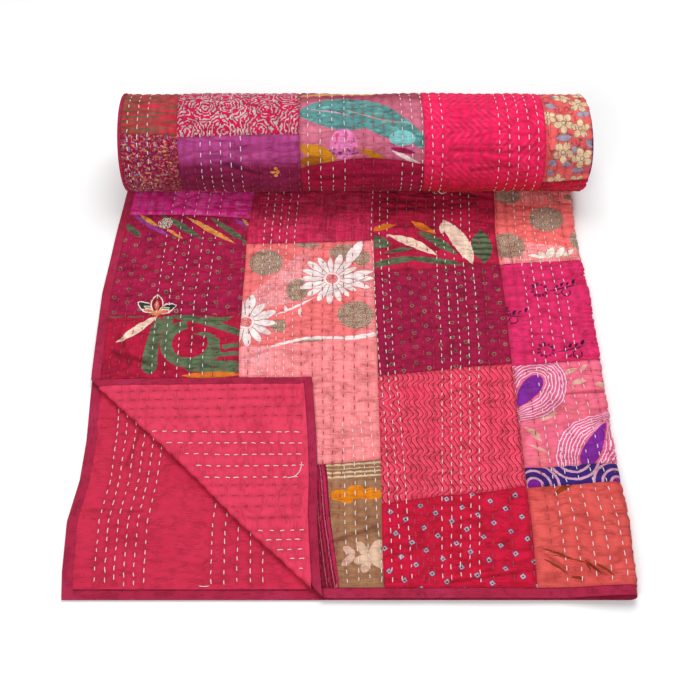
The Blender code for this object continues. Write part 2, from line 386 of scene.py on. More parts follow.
def add_sheet(name, grid, coordinates, finish, keep=None, shade=None):
    """A cloth piece from a grid of points, facing the side that shows, with its pattern as UVs."""
    rows, columns = grid.shape[:2]
    grid[..., 2] = np.maximum(grid[..., 2], 0)
    index = np.arange(rows * columns).reshape(rows, columns)
    quads = np.stack([index[:-1, :-1], index[:-1, 1:], index[1:, 1:], index[1:, :-1]], axis=-1)
    if keep is not None:
        quads = quads[keep]
    quads = quads.reshape(-1, 4)
    used, again = np.unique(quads, return_inverse=True)
    quads = again.reshape(-1, 4)
    mesh = bpy.data.meshes.new(name)
    mesh.from_pydata(grid.reshape(-1, 3)[used].tolist(), [], quads.tolist())
    layer = mesh.uv_layers.new(name="pattern")
    layer.data.foreach_set("uv", coordinates.reshape(-1, 2)[used][quads.reshape(-1)].ravel())
    # The painted shade of each point, which the material reads to darken hollows and pale ridges
    painted_shade = np.full(rows * columns, LEVEL_SHADE) if shade is None else shade.reshape(-1)
    values = painted_shade[used].astype(np.float32)
    mesh.attributes.new("painted_shade", "FLOAT", "POINT").data.foreach_set("value", values)
    mesh.polygons.foreach_set("use_smooth", np.ones(len(quads), bool))
    mesh.materials.append(finish)
    made = bpy.data.objects.new(name, mesh)
    bpy.context.scene.collection.objects.link(made)
    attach(made, "root")
    return made


# The cottons: old sarees, block printed and hand dyed. Each is one material, with its colours laid
# over each other in the metres of the pattern, its weave as bump, and painted shade from its puckers.
DYE_DEPTH = 0.80
RIDGE_SHADE = 0.86
RED_KEPT = 0.28
MM = 0.001
WEAVE_DEPTH = 0.00045
# Threads in a metre of the weave
WEAVE_THREADS = 950.0
COTTON_ROUGHNESS = 0.82
COTTON_SHEEN = 0.03
COTTON_GLOSS = 0.18
# Every finished cotton, by name
cottons = {}


def dye(colour, depth=DYE_DEPTH):
    """The linear colour of a dye that is given from 0 to 255."""
    return (*[depth * (c / 255) ** 2.2 for c in colour], 1)


class Value:
    """A number that nodes work out. Arithmetic with it adds the nodes for it."""

    def __init__(self, nodes, socket):
        self.nodes = nodes
        self.socket = socket

    def __add__(self, other):
        return self.nodes.math("ADD", self, other)

    def __radd__(self, other):
        return self.nodes.math("ADD", other, self)

    def __sub__(self, other):
        return self.nodes.math("SUBTRACT", self, other)

    def __rsub__(self, other):
        return self.nodes.math("SUBTRACT", other, self)

    def __mul__(self, other):
        return self.nodes.math("MULTIPLY", self, other)

    def __rmul__(self, other):
        return self.nodes.math("MULTIPLY", other, self)

    def __truediv__(self, other):
        return self.nodes.math("DIVIDE", self, other)

    def __rtruediv__(self, other):
        return self.nodes.math("DIVIDE", other, self)

    def __pow__(self, other):
        return self.nodes.math("POWER", self, other)

    def __abs__(self):
        return self.nodes.math("ABSOLUTE", self)


class Nodes:
    """Adds nodes to one node tree, and links or sets their sockets."""

    def __init__(self, tree):
        self.tree = tree

    def feed(self, socket, value):
        if isinstance(value, Value):
            value = value.socket
        if isinstance(value, bpy.types.NodeSocket):
            self.tree.links.new(value, socket)
        elif value is not None:
            socket.default_value = value

    def add(self, kind, *values, **settings):
        node = self.tree.nodes.new(kind)
        for key, setting in settings.items():
            setattr(node, key, setting)
        for socket, value in zip(node.inputs, values):
            self.feed(socket, value)
        return node

    def math(self, operation, *values):
        return Value(self, self.add("ShaderNodeMath", *values, operation=operation).outputs[0])

    def vector(self, operation, *values):
        return self.add("ShaderNodeVectorMath", *values, operation=operation).outputs[0]

    def ramp(self, value, low, high):
        """0 below low, 1 above high, smooth between."""
        node = self.add("ShaderNodeMapRange", value, low, high, interpolation_type="SMOOTHSTEP")
        return Value(self, node.outputs[0])

    def length(self, x, y):
        return self.math("SQRT", x * x + y * y)

    def clamp(self, value, low, high):
        return self.math("MINIMUM", self.math("MAXIMUM", value, low), high)

    def line(self, value, at, inner, outer):
        """1 where value is within inner of a place, 0 beyond outer."""
        return 1.0 - self.ramp(abs(value - at), inner, outer)

    def mix(self, share, under, over):
        """The colour over laid on the colour under, where share is 1."""
        node = self.add("ShaderNodeMix", share, *[None] * 5, under, over, data_type="RGBA")
        return node.outputs[2]

    def noise(self, place, scale, detail=2.0, stretch=(1, 1)):
        spread = self.vector("MULTIPLY", place, (stretch[0], stretch[1], 1))
        node = self.add("ShaderNodeTexNoise", noise_dimensions="2D")
        self.feed(node.inputs["Vector"], spread)
        self.feed(node.inputs["Scale"], scale)
        self.feed(node.inputs["Detail"], detail)
        return Value(self, node.outputs["Fac"])

    def split(self, place):
        node = self.add("ShaderNodeSeparateXYZ", place)
        return Value(self, node.outputs[0]), Value(self, node.outputs[1])

    def use(self, group, *values):
        node = self.add("ShaderNodeGroup", *values, node_tree=group)
        return [Value(self, output) for output in node.outputs]


def new_group(name, inputs, outputs):
    """An empty node group, its Nodes, its inputs and a function that sets its outputs."""
    group = bpy.data.node_groups.new(name, "ShaderNodeTree")
    for way, labels in (("INPUT", inputs), ("OUTPUT", outputs)):
        for label in labels:
            kind = "NodeSocketVector" if label in ("Pattern", "Local") else "NodeSocketFloat"
            group.interface.new_socket(label, in_out=way, socket_type=kind)
    nodes = Nodes(group)
    given = [Value(nodes, socket) for socket in nodes.add("NodeGroupInput").outputs]
    end = nodes.add("NodeGroupOutput")

    def put(*values):
        for socket, value in zip(end.inputs, values):
            nodes.feed(socket, value)

    return group, nodes, given, put


def turned_to(nodes, pattern, x, y, turn):
    """Pattern coordinates about a point, turned so that x runs along turn."""
    centre = nodes.add("ShaderNodeCombineXYZ", x, y).outputs[0]
    about = nodes.vector("SUBTRACT", pattern, centre)
    node = nodes.add("ShaderNodeVectorRotate", rotation_type="Z_AXIS", invert=True)
    nodes.feed(node.inputs["Vector"], about)
    nodes.feed(node.inputs["Angle"], turn)
    return nodes.split(node.outputs[0])


# A printed leaf, petal, stem or stripe: pointed with Blunt 2, square-ended with a high Blunt
leaf_group, n, i, put = new_group(
    "leaf", ("Pattern", "X", "Y", "Turn", "Length", "Width", "Bend", "Blunt", "Lean"), ("Inside", "Edge")
)
x, y = turned_to(n, i[0], i[1], i[2], i[3])
signed = x / (i[4] * 0.5)
along = abs(signed)
arch = 1.0 - along * along
off = abs(y - i[6] * arch)
taper = 1.0 - along ** i[7]
lean = 1.0 + i[8] * n.clamp(signed, -1.2, 1.2)
taper = taper * lean
edge = i[5] * 0.5 * taper - off
put(n.ramp(edge, -0.0003, 0.0004), edge)

# A printed oval or spot, with its distance from the centre as a share of its radius
oval_group, n, i, put = new_group(
    "oval", ("Pattern", "X", "Y", "Turn", "Radius X", "Radius Y"), ("Inside", "Share")
)
x, y = turned_to(n, i[0], i[1], i[2], i[3])
x = x / i[4]
y = y / i[5]
share = n.length(x, y)
put(1.0 - n.ramp(share, 0.97, 1.03), share)

# A printed daisy: a ring of pointed petals with thin outlines, round a ringed centre
daisy_group, n, i, put = new_group(
    "daisy", ("Pattern", "X", "Y", "Turn", "Radius", "Petals"), ("Petals", "Outline", "Centre", "Ring")
)
x, y = turned_to(n, i[0], i[1], i[2], i[3])
far = n.length(x, y)
share = far / i[4]
angle = n.math("ARCTAN2", y, x) / ONE_TURN * i[5]
petal = n.math("FLOOR", angle)
random = Value(n, n.add("ShaderNodeTexWhiteNoise", None, petal, noise_dimensions="1D").outputs["Value"])
length = 0.8 + random * 0.2
side = abs(n.math("FRACT", angle) - 0.5) * 2.0
tip = (length - share) / 0.42
room = n.math("MAXIMUM", n.math("MINIMUM", tip, 1.0), 0.0001) ** 0.52
spare = (room * 1.14 - side) * share
inside = n.ramp(spare, -0.006, 0.012) * n.ramp(share, 0.24, 0.26)
between = (1.0 - side) * share
line = 1.0 - n.ramp(n.math("MINIMUM", spare, between), 0.025, 0.07)
line = inside * line
middle_disc = 1.0 - n.ramp(share, 0.165, 0.18)
ring = 1.0 - n.ramp(share, 0.23, 0.245) - middle_disc
put(inside, line, middle_disc, ring)

# A printed blossom with round petals, its outline and its middle
blossom_group, n, i, put = new_group(
    "blossom", ("Pattern", "X", "Y", "Turn", "Radius", "Petals"), ("Inside", "Outline")
)
x, y = turned_to(n, i[0], i[1], i[2], i[3])
far = n.length(x, y)
share = far / i[4]
wave = abs(n.math("COSINE", n.math("ARCTAN2", y, x) * (i[5] * 0.5)))
reach = 0.38 + wave ** 0.55 * 0.62
spare = reach - share
inside = n.ramp(spare, -0.02, 0.03)
valley = (1.0 - n.ramp(wave, 0.1, 0.3)) * n.ramp(share, 0.16, 0.22)
rim = 1.0 - n.ramp(spare, 0.06, 0.14)
core = n.ramp(share, 0.12, 0.16) * (1.0 - n.ramp(share, 0.2, 0.26))
put(inside, inside * n.math("MAXIMUM", n.math("MAXIMUM", valley, rim), core))

# An even scatter of one small motif: the place within its cell, the distance and a random pick
lattice_group, n, i, put = new_group(
    "scatter",
    ("Pattern", "X", "Y", "AX", "AY", "BX", "BY", "Stray"),
    ("Local", "Distance", "Pick"),
)
centre = n.add("ShaderNodeCombineXYZ", i[1], i[2]).outputs[0]
x, y = n.split(n.vector("SUBTRACT", i[0], centre))
det = i[3] * i[6] - i[4] * i[5]
s = (x * i[6] - y * i[5]) / det
t = (y * i[3] - x * i[4]) / det
s_cell, t_cell = n.math("ROUND", s), n.math("ROUND", t)
cell = n.add("ShaderNodeCombineXYZ", s_cell, t_cell).outputs[0]
stray = n.add("ShaderNodeTexWhiteNoise", cell, noise_dimensions="2D")
stray_x, stray_y = n.split(stray.outputs["Color"])
s = s - s_cell + (stray_x - 0.5) * i[7]
t = t - t_cell + (stray_y - 0.5) * i[7]
x = s * i[3] + t * i[5]
y = s * i[4] + t * i[6]
local = n.add("ShaderNodeCombineXYZ", x, y).outputs[0]
far = n.length(x, y)
put(local, far, stray.outputs["Value"])

# The weave: threads both ways, some thicker than others, the faded streaks that follow them, and fine
# crinkle lines for bump and painted shade
weave_group, n, i, put = new_group(
    "weave", ("Pattern", "Threads"), ("Height", "Streaks", "Wash", "Crinkle")
)
x, y = n.split(i[0])
warp = n.math("SINE", x * (i[1] * ONE_TURN))
weft = n.math("SINE", y * (i[1] * ONE_TURN))
over = warp * weft
streak_x = n.noise(i[0], 1.0, 2.0, (900, 45))
streak_y = n.noise(i[0], 1.0, 2.0, (45, 900))
streaks = streak_x + streak_y - 1.0
crumple = n.noise(i[0], 1.0, 3.0, (170, 420))
wash = n.noise(i[0], 26.0, 3.0) - 0.5
height = over * 0.12 + streaks * 0.5
height = height + crumple * 1.3
bent = n.noise(i[0], 1.0, 2.0, (48, 300))
crinkle_line = n.line(bent, 0.5, 0.0, 0.045)
crinkle_line = crinkle_line * n.ramp(n.noise(i[0], 60.0, 1.0), 0.38, 0.62)
put(height - crinkle_line * 0.9, streaks, wash, crinkle_line)


class Fabric(Nodes):
    """One cotton. Places and sizes of its print are in millimetres of the pattern."""

    def __init__(self, name, ground, wobble=0.7):
        self.material = bpy.data.materials.new(name)
        self.material.use_nodes = True
        super().__init__(self.material.node_tree)
        self.pattern = self.add("ShaderNodeUVMap", uv_map="pattern").outputs[0]
        shake = self.add("ShaderNodeTexNoise", noise_dimensions="2D")
        self.feed(shake.inputs["Vector"], self.pattern)
        self.feed(shake.inputs["Scale"], 260.0)
        centred = self.vector("SUBTRACT", shake.outputs["Color"], (0.5, 0.5, 0.5))
        moved = self.vector("MULTIPLY", centred, (2 * wobble * MM, 2 * wobble * MM, 0))
        self.print_place = self.vector("ADD", self.pattern, moved)
        self.colour = dye(ground)

    def over(self, mask, colour, strength=1.0):
        """Lays a colour over what is there."""
        if strength != 1.0:
            mask = mask * strength
        self.colour = self.mix(mask, self.colour, dye(colour))

    def both(self, *masks):
        mask = masks[0]
        for other in masks[1:]:
            mask = mask * other
        return mask

    def without(self, mask):
        return 1.0 - mask

    def any_of(self, *masks):
        mask = masks[0]
        for other in masks[1:]:
            mask = self.math("MAXIMUM", mask, other)
        return mask

    def leaf_mask(self, start, end, width, bend=0.0, blunt=2.0, lean=0.0):
        x, y = (start[0] + end[0]) / 2, (start[1] + end[1]) / 2
        run, rise = end[0] - start[0], end[1] - start[1]
        sizes = (math.hypot(run, rise) * MM, width * MM, bend * MM, blunt, lean)
        return self.use(leaf_group, self.print_place, x * MM, y * MM, math.atan2(rise, run), *sizes)

    def leaf(self, start, end, width, colour, bend=0.0, blunt=2.0, lean=0.0, rim=None, rim_width=0.9):
        inside, edge = self.leaf_mask(start, end, width, bend, blunt, lean)
        if rim is not None:
            self.over(inside, rim)
            inside = self.ramp(edge, (rim_width - 0.3) * MM, (rim_width + 0.3) * MM)
        self.over(inside, colour)
        return inside

    def leaves(self, rows, colour, **how):
        """Leaves of one colour, from the start, end and width of each."""
        for start, end, width in rows:
            self.leaf(start, end, width, colour, **how)

    def nearest(self, centres):
        """Distance to the nearest of some centres, in millimetres."""
        nearest = self.oval_mask(centres[0], (1, 1))[1]
        for centre in centres[1:]:
            nearest = self.math("MINIMUM", nearest, self.oval_mask(centre, (1, 1))[1])
        return nearest

    def stroke(self, start, end, width, colour, bend=0.0):
        return self.leaf(start, end, width, colour, bend, blunt=14.0)

    def oval_mask(self, centre, radii, turn=0.0):
        sizes = (math.radians(turn), radii[0] * MM, radii[1] * MM)
        return self.use(oval_group, self.print_place, centre[0] * MM, centre[1] * MM, *sizes)

    def oval(self, centre, radii, colour, turn=0.0):
        inside, _ = self.oval_mask(centre, radii, turn)
        self.over(inside, colour)
        return inside

    def beyond(self, start, end):
        """1 on the left of the line from start to end."""
        run, rise = end[0] - start[0], end[1] - start[1]
        far = math.hypot(run, rise)
        x, y = self.split(self.print_place)
        side = y * (run / far) - x * (rise / far)
        level = (run * start[1] - rise * start[0]) / far
        return self.ramp(side, (level - 0.5) * MM, (level + 0.5) * MM)

    def arc(self, centre, radius, width, colour, start, end):
        """Part of a ring, from start to end in degrees, anticlockwise."""
        inside, share = self.oval_mask(centre, (radius, radius))
        off = abs((share - 1.0) * (radius * MM))
        band = self.without(self.ramp(off, (width / 2 - 0.25) * MM, (width / 2 + 0.25) * MM))
        x, y = self.split(self.print_place)
        x = x - centre[0] * MM
        y = y - centre[1] * MM
        middle_angle = math.radians((start + end) / 2)
        half_angle = math.radians((end - start) / 2)
        run = x * math.cos(middle_angle)
        run = run + y * math.sin(middle_angle)
        far = share * (radius * MM)
        facing = run / self.math("MAXIMUM", far, 1e-05)
        mask = self.both(band, self.ramp(facing, math.cos(half_angle) - 0.02, math.cos(half_angle) + 0.02))
        self.over(mask, colour)
        return mask

    def scatter(self, origin, step_a, step_b, stray=0.15):
        """Local place, distance and random pick of a motif repeated on two steps."""
        numbers = [value * MM for value in (*origin, *step_a, *step_b)]
        return self.use(lattice_group, self.print_place, *numbers, stray)

    def speckle(self, mask, colour, amount=0.5, scale=900.0):
        """Fine grains of a colour within a mask."""
        grain = self.noise(self.pattern, scale, 1.0)
        self.over(self.both(mask, self.ramp(grain, 0.62 - 0.25 * amount, 0.70 - 0.25 * amount)), colour)

    def glitter(self, mask):
        """The taupe spots, printed in dull gold powder over pink."""
        self.over(mask, (178, 138, 118))
        self.speckle(mask, (120, 98, 84), 0.75, 620.0)
        # Pale specks: painted glints of the gold powder
        self.speckle(mask, (226, 190, 165), 0.35, 800.0)

    def crosshatch(self, mask, colour, strength=0.6):
        """Threads of another colour that show in both directions."""
        one = self.noise(self.pattern, 1.0, 2.0, (520, 22))
        two = self.noise(self.pattern, 1.0, 2.0, (22, 520))
        threads = self.any_of(self.ramp(one, 0.50, 0.66), self.ramp(two, 0.52, 0.68))
        self.over(self.both(mask, threads), colour, strength)

    def smudge(self, colour, strength=0.5, scale=30.0, low=0.5, high=0.7, stretch=(1, 1)):
        """Cloudy patches of another colour."""
        self.over(self.ramp(self.noise(self.pattern, scale, 3.0, stretch), low, high), colour, strength)

    def finish(self, fade=0.20, streak=0.42, crinkle_shade=0.28):
        """Adds weave, faded streaks and painted shade from the puckers and crinkles, and keeps and gives
        the material.
        """
        height, streaks, wash, crinkle_line = self.use(weave_group, self.pattern, WEAVE_THREADS)
        painted_shade = Value(self, self.add("ShaderNodeAttribute", attribute_name="painted_shade").outputs["Fac"])
        # Painted shade: the colour is darker where the cloth lies in a hollow and paler on a ridge
        light = 1.0 - RIDGE_SHADE / 2 + painted_shade * RIDGE_SHADE
        light = light + streaks * streak
        light = light + wash * (fade * 2)
        # Painted shade along the fine crinkle lines
        light = light - crinkle_line * crinkle_shade
        colour = self.colour if isinstance(self.colour, bpy.types.NodeSocket) else self.colour[:3]
        shader = self.tree.nodes["Principled BSDF"]
        # Light thrown from fold to fold keeps the red of the cloth in its hollows
        red = self.math("MULTIPLY_ADD", light, 1 - RED_KEPT, RED_KEPT)
        tint = self.add("ShaderNodeCombineXYZ", red, light, light).outputs[0]
        self.feed(shader.inputs["Base Color"], self.vector("MULTIPLY", colour, tint))
        self.feed(shader.inputs["Roughness"], COTTON_ROUGHNESS)
        self.feed(shader.inputs["Sheen Weight"], COTTON_SHEEN)
        self.feed(shader.inputs["Specular IOR Level"], COTTON_GLOSS)
        bump = self.add("ShaderNodeBump")
        self.feed(bump.inputs["Height"], height)
        self.feed(bump.inputs["Distance"], WEAVE_DEPTH)
        self.feed(bump.inputs["Strength"], 1.0)
        self.feed(shader.inputs["Normal"], bump.outputs[0])
        cottons[self.material.name] = self.material
        return self.material


# The patchwork: squares of old saree cotton, cut to a straight thread, sewn edge to edge with
# narrow seams that lie in a shallow groove.
GRAIN = 0.0032
GRAIN_ALONG = 0.0016
SEAM_DIP = 0.0012
SEAM_WIDTH = 0.0026
SEAM_WANDER = 0.0016
FOLD_FULLNESS = 0.9
seam_noise = soft_noise(41)


def seam_line(place, w):
    """A seam along the quilt: the outer ones run straight under the binding."""
    if place < 0.02:
        return np.full(np.shape(w), place)
    return place + SEAM_WANDER * seam_noise(np.asarray(w) / 0.07, 31.7 * place)


def end_line(places, share):
    """w of a seam across the quilt, from its left and right ends and the bow between them."""
    left, right, *bow = places
    return left * (1 - share) + right * share + sum(bow) * np.sin(math.pi * share)


def patch(name, side, columns, ends, height, creases=(), grain=(GRAIN, GRAIN_ALONG), cut_corner=False):
    """One square of the patchwork. side is +1 on the upper half, in p, and -1 on the lower, in u.
    columns are its two long seams, and ends the w of its front seam and of its back seam."""
    front_left, back_left = ends[0][0], ends[1][0]
    count_across = max(2, round((columns[1] - columns[0]) / grain[0]))
    count_along = max(2, round((back_left - front_left) / grain[1]))
    s, t = np.meshgrid(np.linspace(0, 1, count_across + 1), np.linspace(0, 1, count_along + 1))
    wander = SEAM_WANDER * seam_noise(columns[0] * 9 + s * 3, front_left * 50)
    wander_back = SEAM_WANDER * seam_noise(columns[0] * 9 + s * 3, back_left * 50)
    front = end_line(ends[0], s) + np.where(front_left > 0.02, wander, 0)
    back = end_line(ends[1], s) + np.where(back_left < FLAT, wander_back, 0)
    w = front * (1 - t) + back * t
    across = seam_line(columns[0], w) * (1 - s) + seam_line(columns[1], w) * s
    u = 2 * HALF - across if side > 0 else across
    from_seam = np.minimum(s, 1 - s) * (columns[1] - columns[0])
    from_end = np.minimum(t, 1 - t) * (back_left - front_left)
    edge = np.minimum(from_seam, from_end)
    rows = top_rows if side > 0 else roll_rows
    fuller = 1 + FOLD_FULLNESS * ease((across - HALF + 0.030) / 0.025)
    lift, shade = relief(across, w, rows, height * fuller * ease(edge / 0.006), creases)
    groove = np.exp(-((edge / SEAM_WIDTH) ** 2))
    grid = quilt_place(u, w, -CLOTH / 2 - lift + SEAM_DIP * groove)
    # Painted shade in the groove along each seam
    shade = shade * (1 - 0.6 * groove)
    keep = None
    if cut_corner:
        inside = across + w > CORNER - 0.004
        keep = inside[:-1, :-1] & inside[1:, :-1] & inside[:-1, 1:] & inside[1:, 1:]
    if side < 0:
        # The lower half lies face down, so its grid is turned to face out
        grid, across, w, shade = grid[:, ::-1], across[:, ::-1], w[:, ::-1], shade[:, ::-1]
    made = add_sheet(name, grid, np.stack([across, w], axis=-1), cottons[name], keep, shade)
    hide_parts("patchwork_top")
    flat = (columns[1] - columns[0], (sum(ends[1][:2]) - sum(ends[0][:2])) / 2)
    area = None
    if cut_corner:
        area = max(0.31 * flat[0] * flat[1], flat[0] * flat[1] - cut_away(columns, ends))


def cut_away(columns, ends):
    """The part of a square that is turned back with the corner."""
    low = ends[0][0]
    across = np.linspace(columns[0], columns[1], 50)
    high = np.clip(CORNER - across, low, ends[1][0])
    return float(np.mean(high - low) * (columns[1] - columns[0]))


CREAM = (250, 226, 214)
PEACH = (248, 216, 192)
PETAL_WHITE = (255, 233, 230)
SAGE = (150, 136, 104)
LEAF_GREEN = (98, 112, 82)
DARK_GREEN = (52, 60, 50)
SAFFRON = (230, 152, 72)
PRINT_PURPLE = (158, 66, 150)
LINE_BROWN = (122, 66, 64)
INK = (74, 16, 66)
SILVER = (192, 184, 182)


def print_green(cotton, start, end, width, bend=0.0, blunt=2.0, lean=0.0):
    """A green leaf with darker bands across it."""
    inside = cotton.leaf(start, end, width, LEAF_GREEN, bend, blunt, lean)
    bands = cotton.ramp(cotton.noise(cotton.pattern, 1.0, 2.0, (50, 170)), 0.50, 0.66)
    cotton.over(cotton.both(inside, bands), DARK_GREEN, 0.55)


def print_rings(cotton, origin, step_a, step_b, low, high):
    """Small sage rings, tied before dyeing, between two places along the quilt."""
    _, away, pick = cotton.scatter(origin, step_a, step_b)
    off = abs(away - 2.5 * MM)
    _, y = cotton.split(cotton.print_place)
    here = cotton.both(
        cotton.ramp(y, low * MM, (low + 3) * MM),
        cotton.without(cotton.ramp(y, high * MM, (high + 3) * MM))
    )
    cotton.over(cotton.both(cotton.without(cotton.ramp(away, 3.2 * MM, 4.2 * MM)), here), (96, 14, 52), 0.6)
    worn = 0.45 + pick * 0.5
    cotton.over(cotton.both(cotton.without(cotton.ramp(off, 0.40 * MM, 1.10 * MM)), here, worn), SAGE)


def print_daisy(cotton, centre, radius, petals, turn=0.0):
    """A white daisy with brown outlines and a coral middle."""
    numbers = (centre[0] * MM, centre[1] * MM, turn, radius * MM, petals)
    inside, outline, core, ring = cotton.use(daisy_group, cotton.print_place, *numbers)
    cotton.over(inside, PETAL_WHITE)
    cotton.over(outline, LINE_BROWN, 0.9)
    cotton.over(ring, PETAL_WHITE)
    cotton.over(core, (226, 82, 92))
    cotton.speckle(core, CREAM, 0.25)


def print_sprig(cotton, flower, stem, curl):
    """A dark sprig: a spiky flower, a stem with a leaf and a curl below it."""
    numbers = (flower[0] * MM, flower[1] * MM, 0.3, 17 * MM, 11)
    inside, outline, _, ring = cotton.use(daisy_group, cotton.print_place, *numbers)
    _, share = cotton.oval_mask(flower, (17, 17))
    spikes = cotton.both(inside, cotton.without(outline), cotton.ramp(share, 0.45, 0.55))
    cotton.over(spikes, INK, 0.8)
    cotton.over(ring, INK, 0.4)
    start, end = stem
    cotton.leaf(start, end, 2.4, INK, bend=-2.0)
    middle_x, middle_y = (start[0] + end[0]) / 2, (start[1] + end[1]) / 2
    for along, up, width in ((-10, 7, 3.6), (-2, 10, 4.6), (7, 8, 3.6), (17, 12, 4.8)):
        foot = (middle_x + along, middle_y + along * 0.25)
        cotton.leaf(foot, (foot[0] + 5, foot[1] + up), width, INK, bend=1.2)
    cotton.arc(curl, 6.5, 2.0, INK, 110, 400)
    cotton.arc((curl[0] - 13, curl[1] + 1), 4.5, 1.6, INK, 180, 350)


# First column: a green scroll on dark red, rings under leaves, and a shaded magenta
f = Fabric("patch_1_dark_red", (186, 24, 62))
f.smudge((134, 16, 48), 0.5, 20.0, 0.48, 0.68)
f.stroke((15, 464), (38, 465), 5, LEAF_GREEN)
f.stroke((44, 464), (70, 466), 4.5, LEAF_GREEN)
print_green(f, (94, 462), (85, 354), 20, bend=-3, blunt=9.0, lean=0.30)
f.arc((143, 412), 36, 18, LEAF_GREEN, 100, 372)
f.stroke((107, 466), (106, 413), 16, LEAF_GREEN)
print_green(f, (112, 466), (221, 430), 13, bend=4, blunt=14.0)
f.leaf((160, 466), (208, 466), 10, LEAF_GREEN, bend=-9)
print_green(f, (136, 373), (222, 368), 23, bend=-1, blunt=14.0)
print_green(f, (172, 428), (181, 380), 15, bend=5, blunt=8.0)
f.leaf((146, 430), (188, 418), 8, LEAF_GREEN, bend=4)
f.stroke((192, 405), (221, 411), 9, LEAF_GREEN)
f.stroke((176, 389), (221, 394), 8, LEAF_GREEN)
f.leaf((134, 352), (222, 355), 11, (222, 116, 38), blunt=3.0)
f.leaf((31, 412), (91, 466), 14, PEACH)
f.finish(crinkle_shade=0.36)

f = Fabric("patch_1_rings", (176, 27, 75))
f.smudge((132, 16, 58), 0.6, 26.0, 0.46, 0.7)
print_rings(f, (19, 619), (19.8, -12), (0.5, -29), 458, 630)
print_green(f, (62, 678), (145, 621), 12, bend=3)
f.leaf((12, 684), (93, 628), 9, PRINT_PURPLE, bend=-2)
f.leaf((30, 680), (68, 650), 8, SAFFRON, bend=-1)
f.leaf((82, 646), (112, 624), 6, SAFFRON)
f.leaf((111, 672), (200, 612), 10, SAFFRON)
print_green(f, (150, 672), (222, 612), 10)
f.leaf((190, 669), (219, 646), 7, PRINT_PURPLE)
f.leaf((204, 669), (221, 649), 6, SAFFRON)
print_green(f, (11, 657), (42, 627), 11, blunt=3.0)
disc = f.oval((78, 658), (12, 11), CREAM)
f.speckle(disc, (112, 74, 48), 0.6, 520.0)
for tip in ((57, 492), (118, 487)):
    f.leaf(tip, (88, 471), 19, DARK_GREEN, rim=CREAM, rim_width=1.8)
    f.leaf(((tip[0] * 2 + 88) / 3, (tip[1] * 2 + 471) / 3), (88, 472), 8, SAGE, rim=CREAM, rim_width=1.2)
f.leaf((64, 478), (90, 471), 8, (220, 120, 84), rim=CREAM, rim_width=1.4)
f.leaf((112, 475), (88, 471), 8, (220, 120, 84), rim=CREAM, rim_width=1.4)
f.leaf((87, 509), (88, 468), 20, (150, 24, 36), rim=CREAM, rim_width=1.9)
f.leaf((87, 497), (88, 474), 7, (214, 120, 104))
f.oval((88, 471), (8, 5), (232, 140, 94))
f.finish(crinkle_shade=0.60)

f = Fabric("patch_1_tie_dye", (255, 50, 156))
f.smudge((214, 28, 108), 0.5, 34.0, 0.50, 0.64, (1, 1.6))
x, y = f.split(f.print_place)
stripe_x = f.ramp(f.math("SINE", x * (ONE_TURN / 0.021)), 0.0, 0.6)
stripe_y = f.ramp(f.math("SINE", y * (ONE_TURN / 0.024)), -0.1, 0.5)
f.over(f.both(stripe_x, stripe_y), (250, 116, 186), 0.5)
f.over(stripe_x, (244, 70, 160), 0.35)
f.crosshatch(f.ramp(f.noise(f.pattern, 34.0), 0.44, 0.60), (246, 130, 196), 0.35)
f.finish(crinkle_shade=0.36)

# Second column: taupe with a striped border, daisies on coral, and a slubbed burgundy
f = Fabric("patch_2_taupe", (165, 113, 80))
f.smudge((128, 94, 72), 0.35, 24.0, 0.46, 0.66)
f.crosshatch(1.0, (182, 146, 120), 0.22)
for place, thickness in ((203.5, 3.4), (196.5, 1.5), (190.5, 3.0), (183.5, 3.0)):
    f.stroke((200, place - 17), (445, place + 2), thickness, (226, 194, 158))
f.stroke((328, 222), (352, 8), 32, (122, 18, 46))
for top, bottom, thickness, colour in (
    (341, 366, 4.0, (190, 38, 84)),
    (337, 361, 1.2, (214, 96, 118)),
    (334, 356, 2.4, (176, 30, 72)),
    (331, 351, 1.0, (206, 92, 112)),
    (327, 346, 2.4, (164, 26, 62)),
    (323, 341, 1.0, (196, 84, 104)),
):
    f.stroke((top - 2, 218), (bottom, 8), thickness, colour)
for place, radii in (
    ((368, 151), (15, 9)), ((389, 156), (13, 11)), ((409, 153), (17, 9)), ((377, 144), (9, 6))
):
    f.oval(place, radii, (232, 132, 23))
for tip in ((391, 80), (424, 84), (438, 66), (430, 42), (398, 34), (386, 50)):
    f.leaf((406, 57), tip, 13, (226, 184, 156), rim=(186, 146, 120), rim_width=0.6, blunt=3.4)
for tip in ((372, 72), (370, 44)):
    f.leaf((388, 62), tip, 10, (224, 176, 156), blunt=3.0)
f.finish(crinkle_shade=0.18, streak=0.25)

f = Fabric("patch_2_daisies", (253, 120, 120))
x, y = f.split(f.print_place)
hatched = f.both(
    f.without(f.beyond((242, 518), (282, 565))), f.beyond((240, 476), (331, 500)), f.without(
        f.ramp(x, 0.290, 0.345)
    )
)
f.over(hatched, (250, 142, 144), 0.9)
f.crosshatch(hatched, (253, 186, 196), 0.8)
right_side = f.ramp(x, 0.388, 0.412)
f.over(right_side, (250, 134, 138), 0.7)
f.crosshatch(right_side, (253, 178, 184), 0.5)
f.smudge((240, 118, 122), 0.30, 22.0)
for place, radii in (
    ((252, 573), (27, 27)), ((394, 467), (28, 27)), ((304, 516), (17, 22)), ((405, 582), (14, 16)),
    ((379, 594), (27, 17)), ((317, 611), (20, 6)), ((276, 446), (12, 12)),
):
    f.glitter(f.oval_mask(place, radii)[0])
for tip in ((426, 556), (427, 540), (420, 519)):
    f.leaf((372, 540), tip, 13, PETAL_WHITE, rim=LINE_BROWN, rim_width=0.7, blunt=2.6)
print_daisy(f, (358, 539), 55, 17)
print_daisy(f, (226, 453), 55, 13, 0.2)
